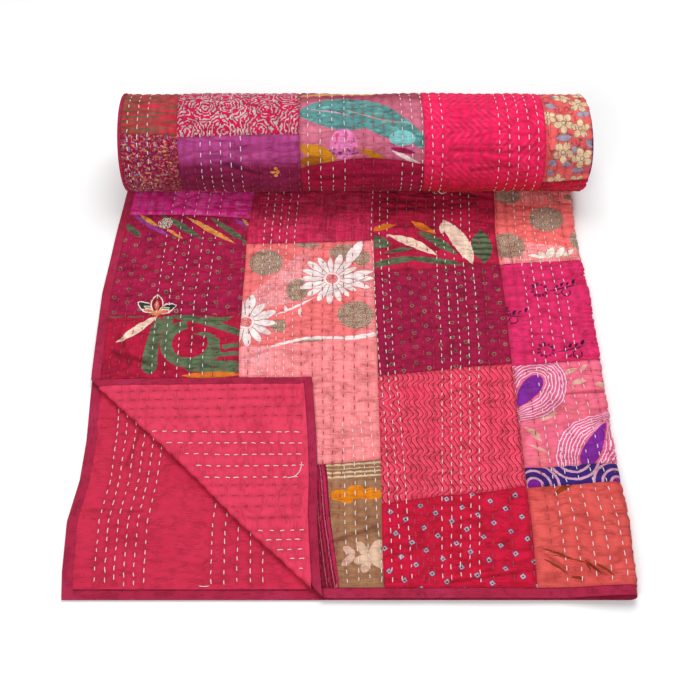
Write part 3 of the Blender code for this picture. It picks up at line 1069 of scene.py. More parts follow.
f.leaf((284, 486), (284, 470), 5, PETAL_WHITE, bend=3)
f.leaf((268, 466), (333, 504), 4, PETAL_WHITE, bend=-3)
f.leaf((310, 482), (311, 462), 6, PETAL_WHITE, bend=-2)
f.leaf((380, 568), (410, 626), 20, PETAL_WHITE, lean=-0.3, rim=LINE_BROWN, rim_width=0.7)
rise = f.ramp(x, 0.269, 0.315) * 0.013
rise = rise + f.ramp(x, 0.37, 0.425) * 0.01
below = f.without(f.ramp(y - rise, 0.4055, 0.4065))
f.over(below, (255, 136, 140))
f.crosshatch(below, (255, 170, 168), 0.40)
f.crosshatch(f.both(below, f.ramp(x, 0.30, 0.24)), (250, 190, 200), 0.5)
f.stroke((296, 414), (346, 418), 8, (190, 140, 122), bend=1)
f.leaf((264, 405), (318, 421), 5, PETAL_WHITE, bend=1, blunt=5.0)
f.stroke((308, 420), (378, 422), 5.5, PETAL_WHITE, bend=1)
f.stroke((374, 421), (426, 430), 7.5, PETAL_WHITE, bend=-1)
f.finish(crinkle_shade=0.24, streak=0.25, fade=0.12)

f = Fabric("patch_2_slub", (208, 32, 80))
f.smudge((140, 14, 48), 0.5, 30.0, 0.45, 0.68)
f.crosshatch(1.0, (228, 84, 118), 0.38)
f.finish(crinkle_shade=0.36)

# Third column: tied squares, waves, rings and leaves
f = Fabric("patch_3_squares", (207, 21, 60))
f.smudge((176, 12, 42), 0.45, 26.0, 0.46, 0.68, (1, 1.8))
local, _, _ = f.scatter((438, 125), (21, -12), (37.5, 9.5), 0.10)
turned_local = f.add("ShaderNodeVectorRotate", rotation_type="Z_AXIS")
f.feed(turned_local.inputs["Vector"], local)
f.feed(turned_local.inputs["Angle"], math.radians(-32))
x, y = f.split(turned_local.outputs[0])
size = f.math("MAXIMUM", abs(x), abs(y))
for limit, colour in ((3.9, (128, 40, 70)), (3.0, (188, 168, 188)), (1.2, (60, 36, 70))):
    f.over(f.without(f.ramp(size, (limit - 0.4) * MM, (limit + 0.3) * MM)), colour)
f.finish()

f = Fabric("patch_3_waves", (241, 74, 103))
x, y = f.split(f.print_place)
turn = y * (ONE_TURN / 0.031)
swing = f.math("SINE", turn + f.math("SINE", turn) * 0.35)
drift = (f.noise(f.pattern, 14.0, 1.0) - 0.5) * 0.012
run = x - swing * 0.0046 + drift
cycle = f.math("FRACT", run / 0.0076)
off = abs(cycle - 0.5)
f.over(f.line(cycle, 0.66, 0.05, 0.12), (255, 140, 141), 0.7)
f.over(f.without(f.ramp(off, 0.10, 0.20)), (186, 22, 57))
f.smudge((226, 50, 84), 0.4, 26.0)
f.finish()

f = Fabric("patch_3_rings", (166, 24, 70))
f.smudge((136, 18, 62), 0.5, 26.0, 0.46, 0.7)
print_rings(f, (461, 550), (19.8, -11), (0.5, -27), 300, 700)
f.finish(crinkle_shade=0.60)

f = Fabric("patch_3_leaves", (194, 29, 69))
f.smudge((116, 14, 42), 0.5, 26.0, 0.48, 0.62, (0.7, 2.2))
f.leaf((418, 642), (462, 656), 12, (228, 122, 38))
f.leaf((487, 662), (530, 634), 13, (228, 122, 38))
print_green(f, (412, 630), (450, 617), 13, blunt=4.0)
print_green(f, (412, 608), (456, 612), 12, blunt=4.0)
print_green(f, (440, 592), (490, 602), 8, bend=2)
print_green(f, (414, 562), (500, 584), 13, bend=3, blunt=4.0)
print_green(f, (474, 582), (570, 568), 12, bend=2, blunt=3.0)
print_green(f, (497, 640), (560, 588), 17, bend=3, blunt=2.5)
f.leaf((447, 633), (528, 587), 17, PEACH, bend=4)
f.leaf((540, 666), (583, 570), 28, PEACH, bend=5, blunt=2.6)
f.leaf((538, 634), (541, 662), 10, PEACH)
round_leaf = f.leaf((602, 572), (602, 644), 33, LEAF_GREEN, blunt=2.4)
_, y = f.split(f.print_place)
stripes = f.ramp(f.math("SINE", y * (ONE_TURN / 0.012)), -0.1, 0.6)
f.over(f.both(round_leaf, stripes), DARK_GREEN, 0.8)
f.arc((540, 735), 9, 1.6, CREAM, 195, 345)
f.arc((528, 731), 5, 1.4, CREAM, 120, 300)
f.finish(crinkle_shade=0.46)

# Fourth column: terracotta, a strip of indigo scrolls, drops, sprigs and gold-dusted coral
f = Fabric("patch_4_terracotta", (226, 88, 84))
f.smudge((208, 68, 66), 0.4, 18.0, 0.44, 0.66)
rows = (
    ((661, 150), (692, 169), 8.0), ((634, 71), (679, 51), 4.0), ((636, 55), (668, 32), 4.5),
    ((676, 53), (693, 45), 2.4), ((688, 52), (711, 29), 4.0), ((700, 48), (727, 26), 4.0),
    ((640, 62), (690, 47), 1.8), ((670, 28), (688, 23), 5.0), ((690, 48), (697, 34), 3.0),
)
f.leaves(rows, (146, 58, 20), bend=1.5)
f.finish(crinkle_shade=0.16, streak=0.2)

f = Fabric("patch_4_indigo", (58, 36, 114))
nearest = f.nearest(((637, 166), (697, 209), (754, 166)))
f.over(f.without(f.ramp(nearest, 9.5, 10.5)), (122, 30, 140))
ring = abs(f.math("FRACT", nearest / 11.5) - 0.5)
f.over(f.both(f.ramp(ring, 0.31, 0.37), f.ramp(nearest, 6.0, 7.0)), (220, 156, 182))
f.finish()

f = Fabric("patch_4_drops", (246, 108, 136))
f.smudge((250, 132, 134), 0.5, 30.0)
rows = (
    ((658, 274), (684, 287), 11), ((633, 262), (655, 246), 8), ((640, 250), (656, 238), 6),
    ((710, 335), (733, 341), 10), ((700, 352), (722, 362), 8), ((744, 334), (760, 330), 8),
    ((636, 232), (664, 218), 5), ((726, 356), (738, 370), 6),
)
f.leaves(rows, (232, 172, 156), bend=1.5)
# Centre, half length and half width of each drop, its turn, and how much wider its far end is
for centre, half_length, half_width, angle, lean in (
    ((646, 325), 33, 13.5, 54, 0.30), ((730, 230), 41, 11.5, 61, -0.50)
):
    x, y = turned_to(f, f.print_place, centre[0] * MM, centre[1] * MM, math.radians(angle))
    x = x / (half_length * MM)
    y = y / (half_width * MM)
    wider = 1.0 + f.clamp(x, -1.3, 1.5) * lean
    y = y / wider
    share = f.length(x, y)
    _, away = f.oval_mask(centre, (1, 1))
    out = away * (1.0 - 1.0 / f.math("MAXIMUM", share, 0.01))
    inside = f.without(f.ramp(share, 0.97, 1.03))
    zone = f.both(f.ramp(out, 1.5, 3.0), f.without(f.ramp(out, 36.0, 37.0)))
    f.over(zone, (238, 96, 139), 0.7)
    wander = f.noise(f.pattern, 60.0, 1.0) * 5.0
    cycle = f.math("FRACT", (out + wander) / 4.9)
    line = f.line(cycle, 0.5, 0.1, 0.2)
    f.over(f.both(zone, line), (255, 222, 238), 0.95)
    violet = f.line(cycle, 0.8, 0.04, 0.1)
    f.over(f.both(zone, violet), (170, 70, 170), 0.45)
    f.over(inside, (134, 42, 156))
f.finish(crinkle_shade=0.14, streak=0.25)

f = Fabric("patch_4_sprigs", (230, 47, 107))
f.smudge((204, 22, 84), 0.4, 26.0, 0.45, 0.68, (1, 1.6))
print_sprig(f, (682, 516), ((688, 512), (748, 529)), (722, 509))
print_sprig(f, (680, 398), ((690, 394), (744, 407)), (726, 390))
print_sprig(f, (618, 474), ((622, 470), (655, 462)), (636, 456))
f.arc((638, 575), 7, 2.2, INK, 190, 350)
f.finish(crinkle_shade=0.40)

f = Fabric("patch_4_coral", (255, 114, 112))
low_band = f.without(f.beyond((630, 623), (761, 600)))
f.over(low_band, (255, 134, 134), 0.8)
f.crosshatch(low_band, (255, 190, 196), 0.8)
f.crosshatch(f.beyond((630, 706), (761, 700)), (255, 186, 184), 0.8)
for place, radii in (
    ((713, 667), (29, 27)), ((645, 609), (27, 27)), ((758, 617), (12, 19)), ((652, 718), (21, 16)),
    ((756, 716), (10, 7))
):
    f.glitter(f.oval_mask(place, radii)[0])
rows = (
    ((704, 580), (691, 597), 9), ((704, 580), (717, 604), 14), ((718, 582), (735, 604), 12),
    ((730, 586), (750, 599), 9), ((702, 581), (672, 589), 8),
)
f.leaves(rows, (255, 236, 222), rim=(196, 110, 92), rim_width=0.6, blunt=2.6)
f.finish()

# Round the roll: brush strokes, flecks, roses, violet, a teal leaf, chevrons and coral flowers
f = Fabric("roll_red_brush", (205, 48, 64))
strokes = f.noise(f.pattern, 1.0, 3.0, (14, 260))
f.over(f.ramp(strokes, 0.48, 0.56), (116, 88, 74), 0.9)
x, y = f.split(f.pattern)
f.over(f.both(f.ramp(x, 0.045, 0.02), f.ramp(strokes, 0.40, 0.50)), (116, 80, 57), 0.7)
f.over(f.ramp(y, 0.900, 0.850), (110, 80, 66), 0.4)
f.finish()

f = Fabric("roll_flecks", (158, 23, 68))
for seed, colour in enumerate(
    ((232, 172, 88), (150, 134, 186), (236, 128, 117), (96, 92, 70), (90, 12, 50))
):
    place = f.vector("ADD", f.pattern, (seed * 0.37, seed * 0.61, 0))
    fleck = f.ramp(f.noise(place, 1.0, 2.0, (125 + 36 * seed, 228 - 30 * seed)), 0.605, 0.660)
    f.over(fleck, colour, 0.75)
f.finish()

f = Fabric("roll_roses", (206, 22, 80), wobble=1.6)
nearest = f.nearest((
    (140, 1011), (178, 1006), (239, 1013), (230, 1050), (112, 1052), (172, 1052), (270, 980),
    (205, 962), (120, 960)
))
bend = f.noise(f.pattern, 110.0, 1.0) * 9.0
cycle = f.math("FRACT", (nearest + bend) / 5.8)
arcs = f.line(cycle, 0.5, 0.15, 0.24)
broken = f.ramp(f.noise(f.pattern, 105.0, 1.0), 0.36, 0.41)
f.over(f.both(arcs, broken), SILVER, 0.95)
f.finish(streak=0.2)

f = Fabric("roll_violet", (180, 68, 136))
f.smudge((198, 84, 146), 0.5, 26.0)
_, y = f.split(f.pattern)
f.over(f.ramp(y, 1.090, 1.110), (128, 16, 58), 0.85)
f.over(f.ramp(y, 1.150, 1.175), (166, 22, 70), 0.8)
f.smudge((124, 30, 90), 0.45, 40.0, 0.54, 0.68, (0.5, 1.8))
f.leaf((242, 1116), (252, 1115), 4.5, SAFFRON)
for place in ((252, 1109), (252, 1121), (255, 1115)):
    f.oval(place, (3.0, 3.0), SAFFRON)
f.finish(crinkle_shade=0.20, streak=0.2)

TEAL = (92, 144, 142)
f = Fabric("roll_teal_leaf", (204, 106, 130))
_, y = f.split(f.pattern)
f.over(f.ramp(y, 1.010, 0.975), (150, 50, 68), 0.85)
f.stroke((285, 1050), (360, 1044), 10, (222, 120, 142), bend=2)
f.stroke((290, 978), (420, 960), 14, (226, 160, 92), bend=-3)
for start, end, width, bend in (
    ((284, 1022), (452, 1022), 62, -3), ((340, 1004), (506, 1078), 44, -6),
    ((290, 1026), (340, 1006), 14, 2)
):
    inside = f.leaf(start, end, width, TEAL, bend=bend)
    veins = f.ramp(f.noise(f.pattern, 1.0, 2.0, (60, 190)), 0.55, 0.68)
    f.over(f.both(inside, veins), (84, 104, 110), 0.8)
    pale = f.ramp(f.noise(f.pattern, 1.0, 2.0, (44, 150)), 0.60, 0.70)
    f.over(f.both(inside, pale), (128, 196, 184), 0.6)
f.leaf((300, 1016), (380, 1030), 2.4, (214, 150, 176), bend=-4)
f.leaf((360, 1012), (470, 1040), 2.4, (204, 140, 134), bend=5)
f.oval((362, 1071), (22, 23), (236, 128, 184))
f.speckle(f.oval_mask((362, 1071), (20, 21))[0], (206, 84, 122), 0.2, 130.0)
band, _ = f.leaf_mask((336, 1082), (388, 1081), 10, blunt=6.0)
f.over(band, (176, 88, 134), 0.6)
f.speckle(band, (128, 50, 104), 0.4, 170.0)
f.oval((456, 1062), (21, 12), (130, 196, 196))
f.oval((456, 1079), (22, 17), (206, 104, 144))
f.oval((456, 1064), (20, 9), (130, 196, 196))
f.leaf((436, 1076), (478, 1084), 8, (150, 30, 70))
f.leaf((288, 1074), (356, 1100), 24, (208, 134, 30), bend=-2)
f.leaf((288, 1100), (330, 1092), 18, (172, 100, 25))
f.leaf((388, 1077), (430, 1096), 11, (210, 138, 33))
f.leaf((438, 1080), (490, 1104), 7, CREAM)
f.finish(crinkle_shade=0.20, streak=0.25)

f = Fabric("roll_crimson", (172, 20, 67))
f.smudge((132, 12, 48), 0.6, 30.0, 0.46, 0.68, (0.6, 2))
f.finish()

f = Fabric("roll_chevrons", (244, 34, 92))
x, y = f.split(f.print_place)
zigzag = f.math("PINGPONG", y + 0.011, 0.0425)
cycle = f.math("FRACT", (x - zigzag) / 0.0115)
off = abs(cycle - 0.5)
worn = f.ramp(f.noise(f.pattern, 30.0), 0.35, 0.60)
f.over(f.both(f.without(f.ramp(off, 0.06, 0.26)), worn), (255, 70, 117), 0.45)
f.over(f.both(f.ramp(off, 0.38, 0.48), worn), (210, 12, 60), 0.35)
# Painted shade: darker red towards the foot of the roll, where it turns away from the light
f.over(f.ramp(y, 1.10, 1.17), (204, 6, 38), 0.92)
f.finish(crinkle_shade=0.16, streak=0.2)

f = Fabric("roll_pink_end", (222, 22, 68))
f.smudge((180, 14, 50), 0.6, 30.0)
f.finish()

f = Fabric("roll_coral_flowers", (244, 98, 98))
x, y = f.split(f.print_place)
thread = abs(f.noise(f.pattern, 62.0, 1.0) - 0.5)
f.over(f.without(f.ramp(thread, 0.008, 0.020)), (112, 70, 80), 0.8)
for start, end in (
    ((700, 1062), (728, 1060)), ((736, 1026), (760, 1022)), ((688, 1006), (708, 1012)),
    ((726, 1112), (752, 1112)),
    ((748, 1064), (764, 1076)), ((690, 1096), (704, 1102)), ((710, 1098), (728, 1104)),
    ((728, 1072), (736, 1088)),
    ((700, 980), (724, 986)), ((690, 1120), (700, 1110)),
):
    f.leaf(start, end, 12, (170, 150, 170), rim=(104, 80, 100), rim_width=0.6)
for place, radius in (
    ((715, 1039), 14), ((741, 1048), 12), ((743, 1005), 13), ((713, 1083), 14), ((744, 1092), 14),
    ((707, 1133), 13), ((692, 1030), 9), ((740, 1134), 11), ((720, 985), 12), ((752, 970), 12),
):
    numbers = (place[0] * MM, place[1] * MM, place[0] * 0.7, (radius + 4) * MM, 5)
    inside, outline = f.use(blossom_group, f.print_place, *numbers)
    f.over(inside, (238, 202, 162))
    f.over(outline, (116, 76, 76), 0.7)
f.finish()

f = Fabric("roll_coral_end", (204, 22, 60))
f.smudge((160, 14, 45), 0.6, 30.0)
f.finish()

for name, ground, shade in (
    ("under_plum", (120, 25, 58), (84, 14, 50)), ("under_magenta", (190, 30, 92), (150, 20, 70)),
    ("under_salmon", (238, 108, 99), (214, 84, 80)), ("under_red", (202, 30, 55), (158, 18, 42)),
    ("under_rose", (240, 100, 121), (214, 70, 97)),
):
    f = Fabric(name, ground)
    f.smudge(shade, 0.7, 22.0)
    f.crosshatch(1.0, CREAM, 0.12)
    f.finish()

INTO_ROLL = FLAT + 0.012
# Seams of each column, w of the seams across it, left and right, and the names and pucker heights
# of its squares, from the front
UPPER_COLUMNS = (
    (
        (0.014, 0.218),
        ((0.125, 0.125), (0.466, 0.466), (0.678, 0.668, 0.004), (INTO_ROLL, INTO_ROLL)),
        (("patch_1_dark_red", 0.0012), ("patch_1_rings", 0.0018), ("patch_1_tie_dye", 0.0011)),
    ),
    (
        (0.218, 0.425),
        ((0.014, 0.014), (0.19, 0.208), (0.613, 0.621), (INTO_ROLL, INTO_ROLL)),
        (("patch_2_taupe", 0.0008), ("patch_2_daisies", 0.001), ("patch_2_slub", 0.0011)),
    ),
    (
        (0.425, 0.627),
        (
            (0.014, 0.014), (0.139, 0.165), (0.353, 0.375), (0.555, 0.57), (INTO_ROLL, INTO_ROLL),
        ),
        (
            ("patch_3_squares", 0.0012), ("patch_3_waves", 0.0009), ("patch_3_rings", 0.0018),
            ("patch_3_leaves", 0.0016),
        ),
    ),
    (
        (0.627, 0.83),
        (
            (0.014, 0.014), (0.162, 0.174), (0.195, 0.204), (0.371, 0.383), (0.57, 0.584),
            (INTO_ROLL, INTO_ROLL),
        ),
        (
            ("patch_4_terracotta", 0.0008), ("patch_4_indigo", 0.0005), ("patch_4_drops", 0.0008),
            ("patch_4_sprigs", 0.0013), ("patch_4_coral", 0.0009),
        ),
    ),
)
# The longer creases, which cross the rows: from p and w, to p and w, depth and half width
UPPER_CREASES = (
    (0.494, 0.185, 0.528, 0.188, 0.0014, 0.0022),
    (0.352, 0.078, 0.428, 0.107, 0.0010, 0.0030),
    (0.690, 0.318, 0.764, 0.322, 0.0014, 0.0026),
    (0.690, 0.052, 0.722, 0.024, 0.0012, 0.0024),
    (0.632, 0.068, 0.672, 0.036, 0.0012, 0.0024),
    (0.500, 0.020, 0.610, 0.036, 0.0012, 0.0026),
    (0.030, 0.440, 0.060, 0.372, 0.0010, 0.0040),
    (0.022, 0.398, 0.098, 0.372, 0.0010, 0.0040),
    (0.432, 0.716, 0.520, 0.708, 0.0016, 0.0036),
    (0.440, 0.694, 0.500, 0.690, 0.0014, 0.0036),
    (0.560, 0.728, 0.628, 0.716, 0.0016, 0.0036),
    (0.545, 0.700, 0.600, 0.706, 0.0014, 0.0036),
    (0.640, 0.700, 0.700, 0.694, 0.0008, 0.0030),
    (0.230, 0.700, 0.330, 0.706, 0.0008, 0.0030),
)
for columns, seams, squares in UPPER_COLUMNS:
    for ends, (name, height) in zip(zip(seams, seams[1:]), squares):
        corner_is_cut = columns[0] < CORNER and ends[0][0] < CORNER
        patch(name, 1, columns, ends, height, UPPER_CREASES, cut_corner=corner_is_cut)

# Round the outside of the roll the lower half shows its face
INSIDE_ROLL = 1.31
ROLL_COLUMNS = (
    (
        (0.0045, 0.0945),
        ((0.81, 0.81), (1.056, 1.058), (INSIDE_ROLL, INSIDE_ROLL)),
        (("roll_red_brush", 0.001), ("roll_flecks", 0.001)),
    ),
    (
        (0.0945, 0.292),
        ((0.812, 0.812), (1.061, 1.055), (INSIDE_ROLL, INSIDE_ROLL)),
        (("roll_roses", 0.0007), ("roll_violet", 0.0011)),
    ),
    (
        (0.292, 0.492),
        ((0.857, 0.857), (1.108, 1.102, -0.013), (INSIDE_ROLL, INSIDE_ROLL)),
        (("roll_teal_leaf", 0.0009), ("roll_crimson", 0.0011)),
    ),
    (
        (0.492, 0.686),
        ((0.9, 0.9), (1.19, 1.19), (INSIDE_ROLL, INSIDE_ROLL)),
        (("roll_chevrons", 0.0012), ("roll_pink_end", 0.001)),
    ),
    (
        (0.686, 0.8),
        ((0.9, 0.9), (1.138, 1.127), (INSIDE_ROLL, INSIDE_ROLL)),
        (("roll_coral_flowers", 0.0008), ("roll_coral_end", 0.001)),
    ),
)
ROLL_CREASES = (
    (0.165, 1.100, 0.236, 1.122, 0.0014, 0.0034),
    (0.120, 1.128, 0.200, 1.136, 0.0010, 0.0040),
    (0.530, 1.078, 0.640, 1.084, 0.0010, 0.0036),
    (0.560, 1.112, 0.650, 1.104, 0.0010, 0.0036),
    (0.310, 1.130, 0.420, 1.122, 0.0010, 0.0036),
)
for columns, seams, squares in ROLL_COLUMNS:
    for ends, (name, height) in zip(zip(seams, seams[1:]), squares):
        patch(name, -1, columns, ends, height, ROLL_CREASES)

# The squares underneath and round the back of the roll, which the camera never sees: the same
# cottons, with a coarser grain
UNDER_GRAIN = (0.006, 0.006)
UNDER_PATCHES = (
    ("under_plum", (0.014, 0.0945), ((0.014, 0.014), (0.81, 0.81))),
    ("under_magenta", (0.0945, 0.292), ((0.014, 0.014), (0.812, 0.812))),
    ("under_salmon", (0.292, 0.492), ((0.014, 0.014), (0.857, 0.857))),
    ("under_red", (0.492, 0.686), ((0.014, 0.014), (0.90, 0.90))),
    ("under_rose", (0.686, 0.71), ((0.014, 0.014), (0.90, 0.90))),
)
for name, columns, ends in UNDER_PATCHES:
    patch(name, -1, columns, ends, 0.0002, grain=UNDER_GRAIN)

# The backing: one plain raspberry cotton for the whole quilt, wrong side in, which shows where
# the corner is turned back and on the cloth that it bares.
BACKING_PUCKER = 0.0005
BACKING_GRAIN = 0.0022
BACKING_CREASES = (
    (0.060, 0.195, 0.084, 0.290, 0.0009, 0.0026),
    (0.020, 0.133, 0.110, 0.130, 0.0006, 0.0024),
)
CORNER_CREASES = (
    (0.228, 0.024, 0.232, 0.100, 0.0003, 0.0030),
    (0.060, 0.190, 0.100, 0.160, 0.0004, 0.0050),
    (0.075, 0.150, 0.110, 0.130, 0.0004, 0.0050),
)


def backing_cloth(name, ground, shade):
    """Plain raspberry cotton, a little faded, with the patchwork's shadows showing through."""
    f = Fabric(name, ground)
    f.smudge(shade, 0.35, 9.0, 0.42, 0.66)
    f.smudge(shade, 0.20, 40.0, 0.50, 0.70)
    return f.finish(fade=0.08, streak=0.12, crinkle_shade=0.10)


# Two copies of the one cotton: the bared cloth darker as painted shade, the turned corner lighter as
# painted light
BARED_RED_SHADED = backing_cloth("backing_bared", (206, 46, 76), (190, 36, 66))
CORNER_RED_LIT = backing_cloth("backing_corner", (230, 64, 94), (218, 50, 84))


def backing_sheet(name, u, w, finish, rows, creases, keep=None):
    across = np.where(u > HALF, 2 * HALF - u, u)
    lift, shade = relief(across, w, rows, BACKING_PUCKER, creases)
    grid = quilt_place(u, w, CLOTH / 2 + lift)
    made = add_sheet(name, grid, np.stack([across, w], axis=-1), finish, keep, shade)
    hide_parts("backing")


# Sides of the half squares that the two pieces are cut to
BARED_REACH = 0.400
bared = np.arange(0.014, 0.405, BACKING_GRAIN)
u, w = np.meshgrid(bared, bared)
shown = (u + w < BARED_REACH)[:-1, :-1]
backing_sheet(
    "backing_bared", u, w, BARED_RED_SHADED, corner_rows, BACKING_CREASES, shown,
)
near_corner = 0.05
reach = np.concatenate(
    [np.linspace(near_corner, 0.94, 110), np.linspace(0.945, 1.06, 50), np.linspace(1.07, 1.25, 12)]
)
share, far = np.meshgrid(np.linspace(0, 1, 130), reach)
u = 2 * HALF - np.maximum(far * CORNER * (1 - share), 0.013)
w = np.maximum(far * CORNER * share, 0.013)
backing_sheet(
    "backing_corner", u, w, CORNER_RED_LIT, top_rows, CORNER_CREASES,
)

# The binding: a strip of plum cotton folded over every edge and stitched down through all layers.
f = Fabric("binding", (174, 38, 70))
f.smudge((184, 48, 88), 0.5, 9.0, 0.46, 0.62)
f.smudge((156, 28, 64), 0.4, 60.0, 0.50, 0.70)
binding_finish = f.finish(streak=0.4, crinkle_shade=0.16)
EDGE_ROUND = 0.0028
NARROWED = 0.66
# Distance in from the edge, and share of the cloth's half thickness, from one face to the other
WRAP = (
    (0.0162, -0.80), (0.0150, -1.16), (0.0120, -1.20), (0.0080, -1.22), (0.0045, -1.18),
    (0.0020, -1.00), (0.0006, -0.62), (0.0, 0.0), (0.0006, 0.62), (0.0020, 1.00),
    (0.0045, 1.18), (0.0080, 1.22), (0.0120, 1.20), (0.0150, 1.16), (0.0162, 0.80),
)
binding_noise = soft_noise(53)


def bind(name, run, edge_at, nodes, narrow_past=None):
    """A binding strip along run, with edge_at(run, inset) giving u and w."""
    inset, share = np.array(WRAP).T
    along, across = np.meshgrid(run, inset, indexing="ij")
    from_end = np.minimum(along - run[0], run[-1] - along)
    closing = np.sqrt(np.clip(from_end / EDGE_ROUND, 0.02, 1))
    if narrow_past is not None:
        # On the roll this strip was turned almost wholly to the back
        narrow = 1 - NARROWED * ease((along - narrow_past) / 0.02) * ease((INSIDE_ROLL - along) / 0.02)
        across = across * np.where(share[None, :] < 0, narrow, 1)
    u, w = edge_at(along, across)
    uneven = 1 + 0.10 * binding_noise(along / 0.012, across / 0.006)
    out = share[None, :] * CLOTH / 2 * closing * uneven
    grid = quilt_place(u, w, out)
    mesh = add_sheet(
        name, grid, np.stack([along, across + np.where(share > 0, 0.02, 0)], axis=-1), binding_finish
    )
    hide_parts(*nodes)


side_run = np.concatenate([np.arange(0.004, 0.80, 0.004), np.arange(0.80, LENGTH, 0.006)])
bind(
    "binding_lower_edge", side_run, lambda along, inset: (inset, along), ["binding_side_lower"], 0.82
)
near_turn = np.linspace(CORNER - 0.018, CORNER + 0.006, 18)
upper_run = np.concatenate(
    [side_run[side_run < near_turn[0]], near_turn, side_run[side_run > near_turn[-1]]]
)
bind(
    "binding_upper_edge", upper_run[::-1], lambda along, inset: (2 * HALF - inset, along),
    ["binding_side_upper"]
)
near_fold = np.linspace(HALF - 0.016, HALF + 0.016, 26)
front_run = np.arange(0.0, 2 * HALF + 0.002, 0.004)
turn_at = 2 * HALF - near_turn[::-1]
for dense in (near_fold, turn_at):
    front_run = np.concatenate(
        [front_run[front_run < dense[0] - 0.001], dense, front_run[front_run > dense[-1] + 0.001]]
    )
front_run = np.clip(front_run, 0, 2 * HALF)
bind(
    "binding_front_end", front_run[::-1], lambda along, inset: (along, inset), ["binding_end"]
)

# The turns inside the roll: the rest of the quilt, both layers, wound with its bound edges at the
# left end and its fold at the right.
INNER_SLIP = 0.0035
f = Fabric("wound", (130, 26, 96))
f.smudge((96, 20, 120), 0.7, 12.0, 0.44, 0.58)
f.crosshatch(1.0, (190, 60, 110), 0.3)
wound_finish = f.finish()
columns = np.concatenate([
    [0.010, 0.02], np.linspace(0.045, 0.72, 28), [0.738], np.linspace(0.748, 0.772, 13), [0.782, 0.80],
    np.linspace(0.86, 1.34, 6), [1.40, 1.46, 1.49, 1.510],
])
rows = np.arange(FLAT - 0.006, LENGTH - 0.01, 0.0075)
u, w = np.meshgrid(columns, rows)
under_face = np.where((u < 0.80) & (turned(w) < 1.15 * ONE_TURN), 0.0042, 0.0)
open_ends = np.ones(u.shape)
open_ends[[0, -1]] = 0
faces = [quilt_place(u, w, (under_face - CLOTH / 2) * open_ends), quilt_place(u, w, CLOTH / 2 * open_ends)]
for face in faces:
    face[..., 0] += INNER_SLIP * ease((turned(w) - ONE_TURN) / 0.4) * open_ends
coordinates = np.stack([u, w], axis=-1)
loop = np.concatenate([faces[0], faces[1][:, ::-1], faces[0][:, :1]], axis=1)
loop_uv = np.concatenate([coordinates, coordinates[:, ::-1], coordinates[:, :1]], axis=1)
wound = add_sheet("wound_layers", loop[:, ::-1], loop_uv[:, ::-1], wound_finish)
shell = bmesh.new()
shell.from_mesh(wound.data)
bmesh.ops.remove_doubles(shell, verts=shell.verts, dist=1e-6)
shell.to_mesh(wound.data)
shell.free()
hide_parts("patchwork_top")

# The running stitches themselves: short dashes of thick cotton thread, each sunk at both ends.
THREAD = 0.00068
STITCH_PITCHES = {WHITE: 0.0142, CRIMSON: 0.0178}
STITCH_SHARE = 0.52
STITCH_ARCH = (-0.9, 0.5, 0.9, 0.5, -0.9)
TWIST = 1500.0
THREAD_DYE = 0.95


def thread_cotton(name, pale, dark):
    """Twisted cotton thread, with painted shade between its plies, and darker here and there along its
    length.
    """
    material = bpy.data.materials.new(name)
    material.use_nodes = True
    n = Nodes(material.node_tree)
    place = n.add("ShaderNodeTexCoord").outputs["Object"]
    ply = n.add("ShaderNodeTexWave", place, TWIST, 3.0, bands_direction="DIAGONAL").outputs["Fac"]
    blot = n.add("ShaderNodeTexNoise")
    n.feed(blot.inputs["Vector"], place)
    n.feed(blot.inputs["Scale"], 55.0)
    share = n.ramp(ply, 0.1, 0.8) * n.ramp(blot.outputs["Fac"], 0.3, 0.48)
    shader = material.node_tree.nodes["Principled BSDF"]
    n.feed(shader.inputs["Base Color"], n.mix(share, dye(dark, THREAD_DYE), dye(pale, THREAD_DYE)))
    n.feed(shader.inputs["Roughness"], 0.7)
    n.feed(shader.inputs["Sheen Weight"], 0.3)
    bump = n.add("ShaderNodeBump")
    n.feed(bump.inputs["Height"], ply)
    n.feed(bump.inputs["Distance"], 0.0001)
    n.feed(shader.inputs["Normal"], bump.outputs[0])
    return material


WHITE_THREAD = thread_cotton("white_thread", (255, 252, 250), (238, 214, 218))
CRIMSON_THREAD = thread_cotton("crimson_thread", (192, 24, 68), (154, 16, 54))


def stitches_along(rows, thread, to_u, side, height, shown):
    """Middle line, sideways and outward directions of each stitch on these rows."""
    found = []
    pitch = STITCH_PITCHES[thread]
    for kind, row, start, end in rows:
        if kind != thread:
            continue
        at = start + pitch * draw.uniform(0.1, 0.9)
        while at < end:
            length = pitch * STITCH_SHARE * draw.uniform(0.75, 1.25)
            slant = draw.normal(0, 0.0003)
            w = at + length * np.linspace(-0.5, 0.5, 5)
            across = row(w) + slant * np.linspace(-1, 1, 5)
            if shown(across[2], w[2]):
                found.append((across, w))
            at += pitch * draw.uniform(0.85, 1.15)
    if not found:
        return None
    across = np.array([f[0] for f in found])
    w = np.array([f[1] for f in found])
    u = to_u(across)
    lift, _ = relief(across, w, rows, height)
    lift = lift.mean(axis=1, keepdims=True) * 0.5 + lift * 0.5
    arch = THREAD * np.array(STITCH_ARCH)
    out = side * (CLOTH / 2 + lift + arch)
    line = quilt_place(u, w, out)
    outward = side * backing_side(u, w)
    along = unit(np.gradient(line, axis=1))
    return line, unit(np.cross(outward, along)), outward


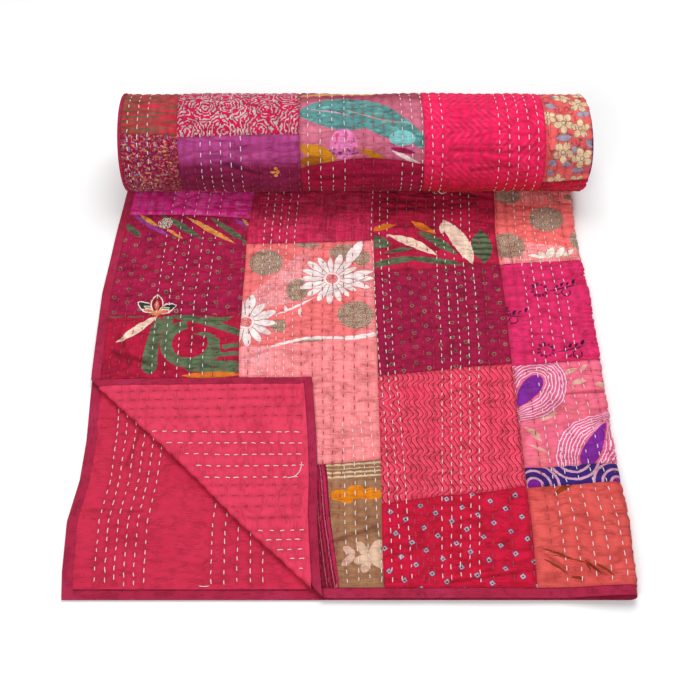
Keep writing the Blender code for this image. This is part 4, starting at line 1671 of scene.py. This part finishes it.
def add_stitches(name, sets, finish):
    """Each stitch is a four-sided thread, closed at both ends."""
    line, aside, outward = [np.concatenate(part) for part in zip(*[s for s in sets if s is not None])]
    ring = [line + THREAD * aside, line + THREAD * outward, line - THREAD * aside, line - THREAD * outward]
    points = np.stack(ring, axis=2)
    count, stations = points.shape[:2]
    one = []
    for i in range(stations - 1):
        for k in range(4):
            j = (k + 1) % 4
            one.append((4 * i + k, 4 * i + 4 + k, 4 * i + 4 + j, 4 * i + j))
    last = 4 * (stations - 1)
    one += [(0, 1, 2, 3), (last + 3, last + 2, last + 1, last)]
    faces = (np.array(one)[None] + (np.arange(count) * stations * 4)[:, None, None]).reshape(-1, 4)
    mesh = bpy.data.meshes.new(name)
    mesh.from_pydata(points.reshape(-1, 3).tolist(), [], faces.tolist())
    mesh.polygons.foreach_set("use_smooth", np.ones(len(faces), bool))
    mesh.materials.append(finish)
    made = bpy.data.objects.new(name, mesh)
    bpy.context.scene.collection.objects.link(made)
    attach(made, "root")


def on_face(p, w):
    return p + w > CORNER + 0.004 and max(p, w) > CORNER - 0.02 and w < FLAT - 0.03


def on_corner(p, w):
    return p + w < CORNER - 0.014 and min(p, w) > BINDING + 0.004


def on_bared(u, w):
    return u + w < CORNER + 0.012 and min(u, w) > BINDING + 0.004


def on_roll(u, w):
    return True


def upper(p):
    return 2 * HALF - p


def lower(u):
    return u


for thread, finish in ((WHITE, WHITE_THREAD), (CRIMSON, CRIMSON_THREAD)):
    add_stitches(
        f"stitches_{thread}_flat",
        [
            stitches_along(top_rows, thread, upper, -1, 0.0006, on_face),
            stitches_along(top_rows, thread, upper, 1, BACKING_PUCKER, on_corner),
            stitches_along(corner_rows, thread, lower, 1, BACKING_PUCKER, on_bared),
        ],
        finish,
    )
    add_stitches(
        f"stitches_{thread}_roll",
        [stitches_along(roll_rows, thread, lower, -1, 0.0006, on_roll)],
        finish,
    )

# A loose tail of white thread by the turned corner's binding, and one stitch that shows near the front
TAIL = (
    (0.1700, 0.0440), (0.1695, 0.0370), (0.1670, 0.0310), (0.1610, 0.0262), (0.1540, 0.0238),
    (0.1460, 0.0228)
)
TAIL_HEIGHTS = (0.0, 1.0, 1.6, 1.6, 1.3, 0.9)
LONE = ((0.181, 0.0192), (0.1845, 0.0182), (0.188, 0.0179), (0.1915, 0.0183), (0.195, 0.0192))


def loose_thread(name, u, w, heights):
    """One thread by itself on the backing. Heights over it are in half thicknesses of the thread."""
    line = quilt_place(u, w, CLOTH / 2 + THREAD * np.array(heights))
    outward = backing_side(u, w)
    aside = unit(np.cross(outward, unit(np.gradient(line, axis=0))))
    add_stitches(name, [(line[None], aside[None], outward[None])], WHITE_THREAD)


across, w = np.array(TAIL).T
loose_thread("thread_tail", 2 * HALF - across, w, TAIL_HEIGHTS)
u, w = np.array(LONE).T
loose_thread("stitch_lone", u, w, STITCH_ARCH)
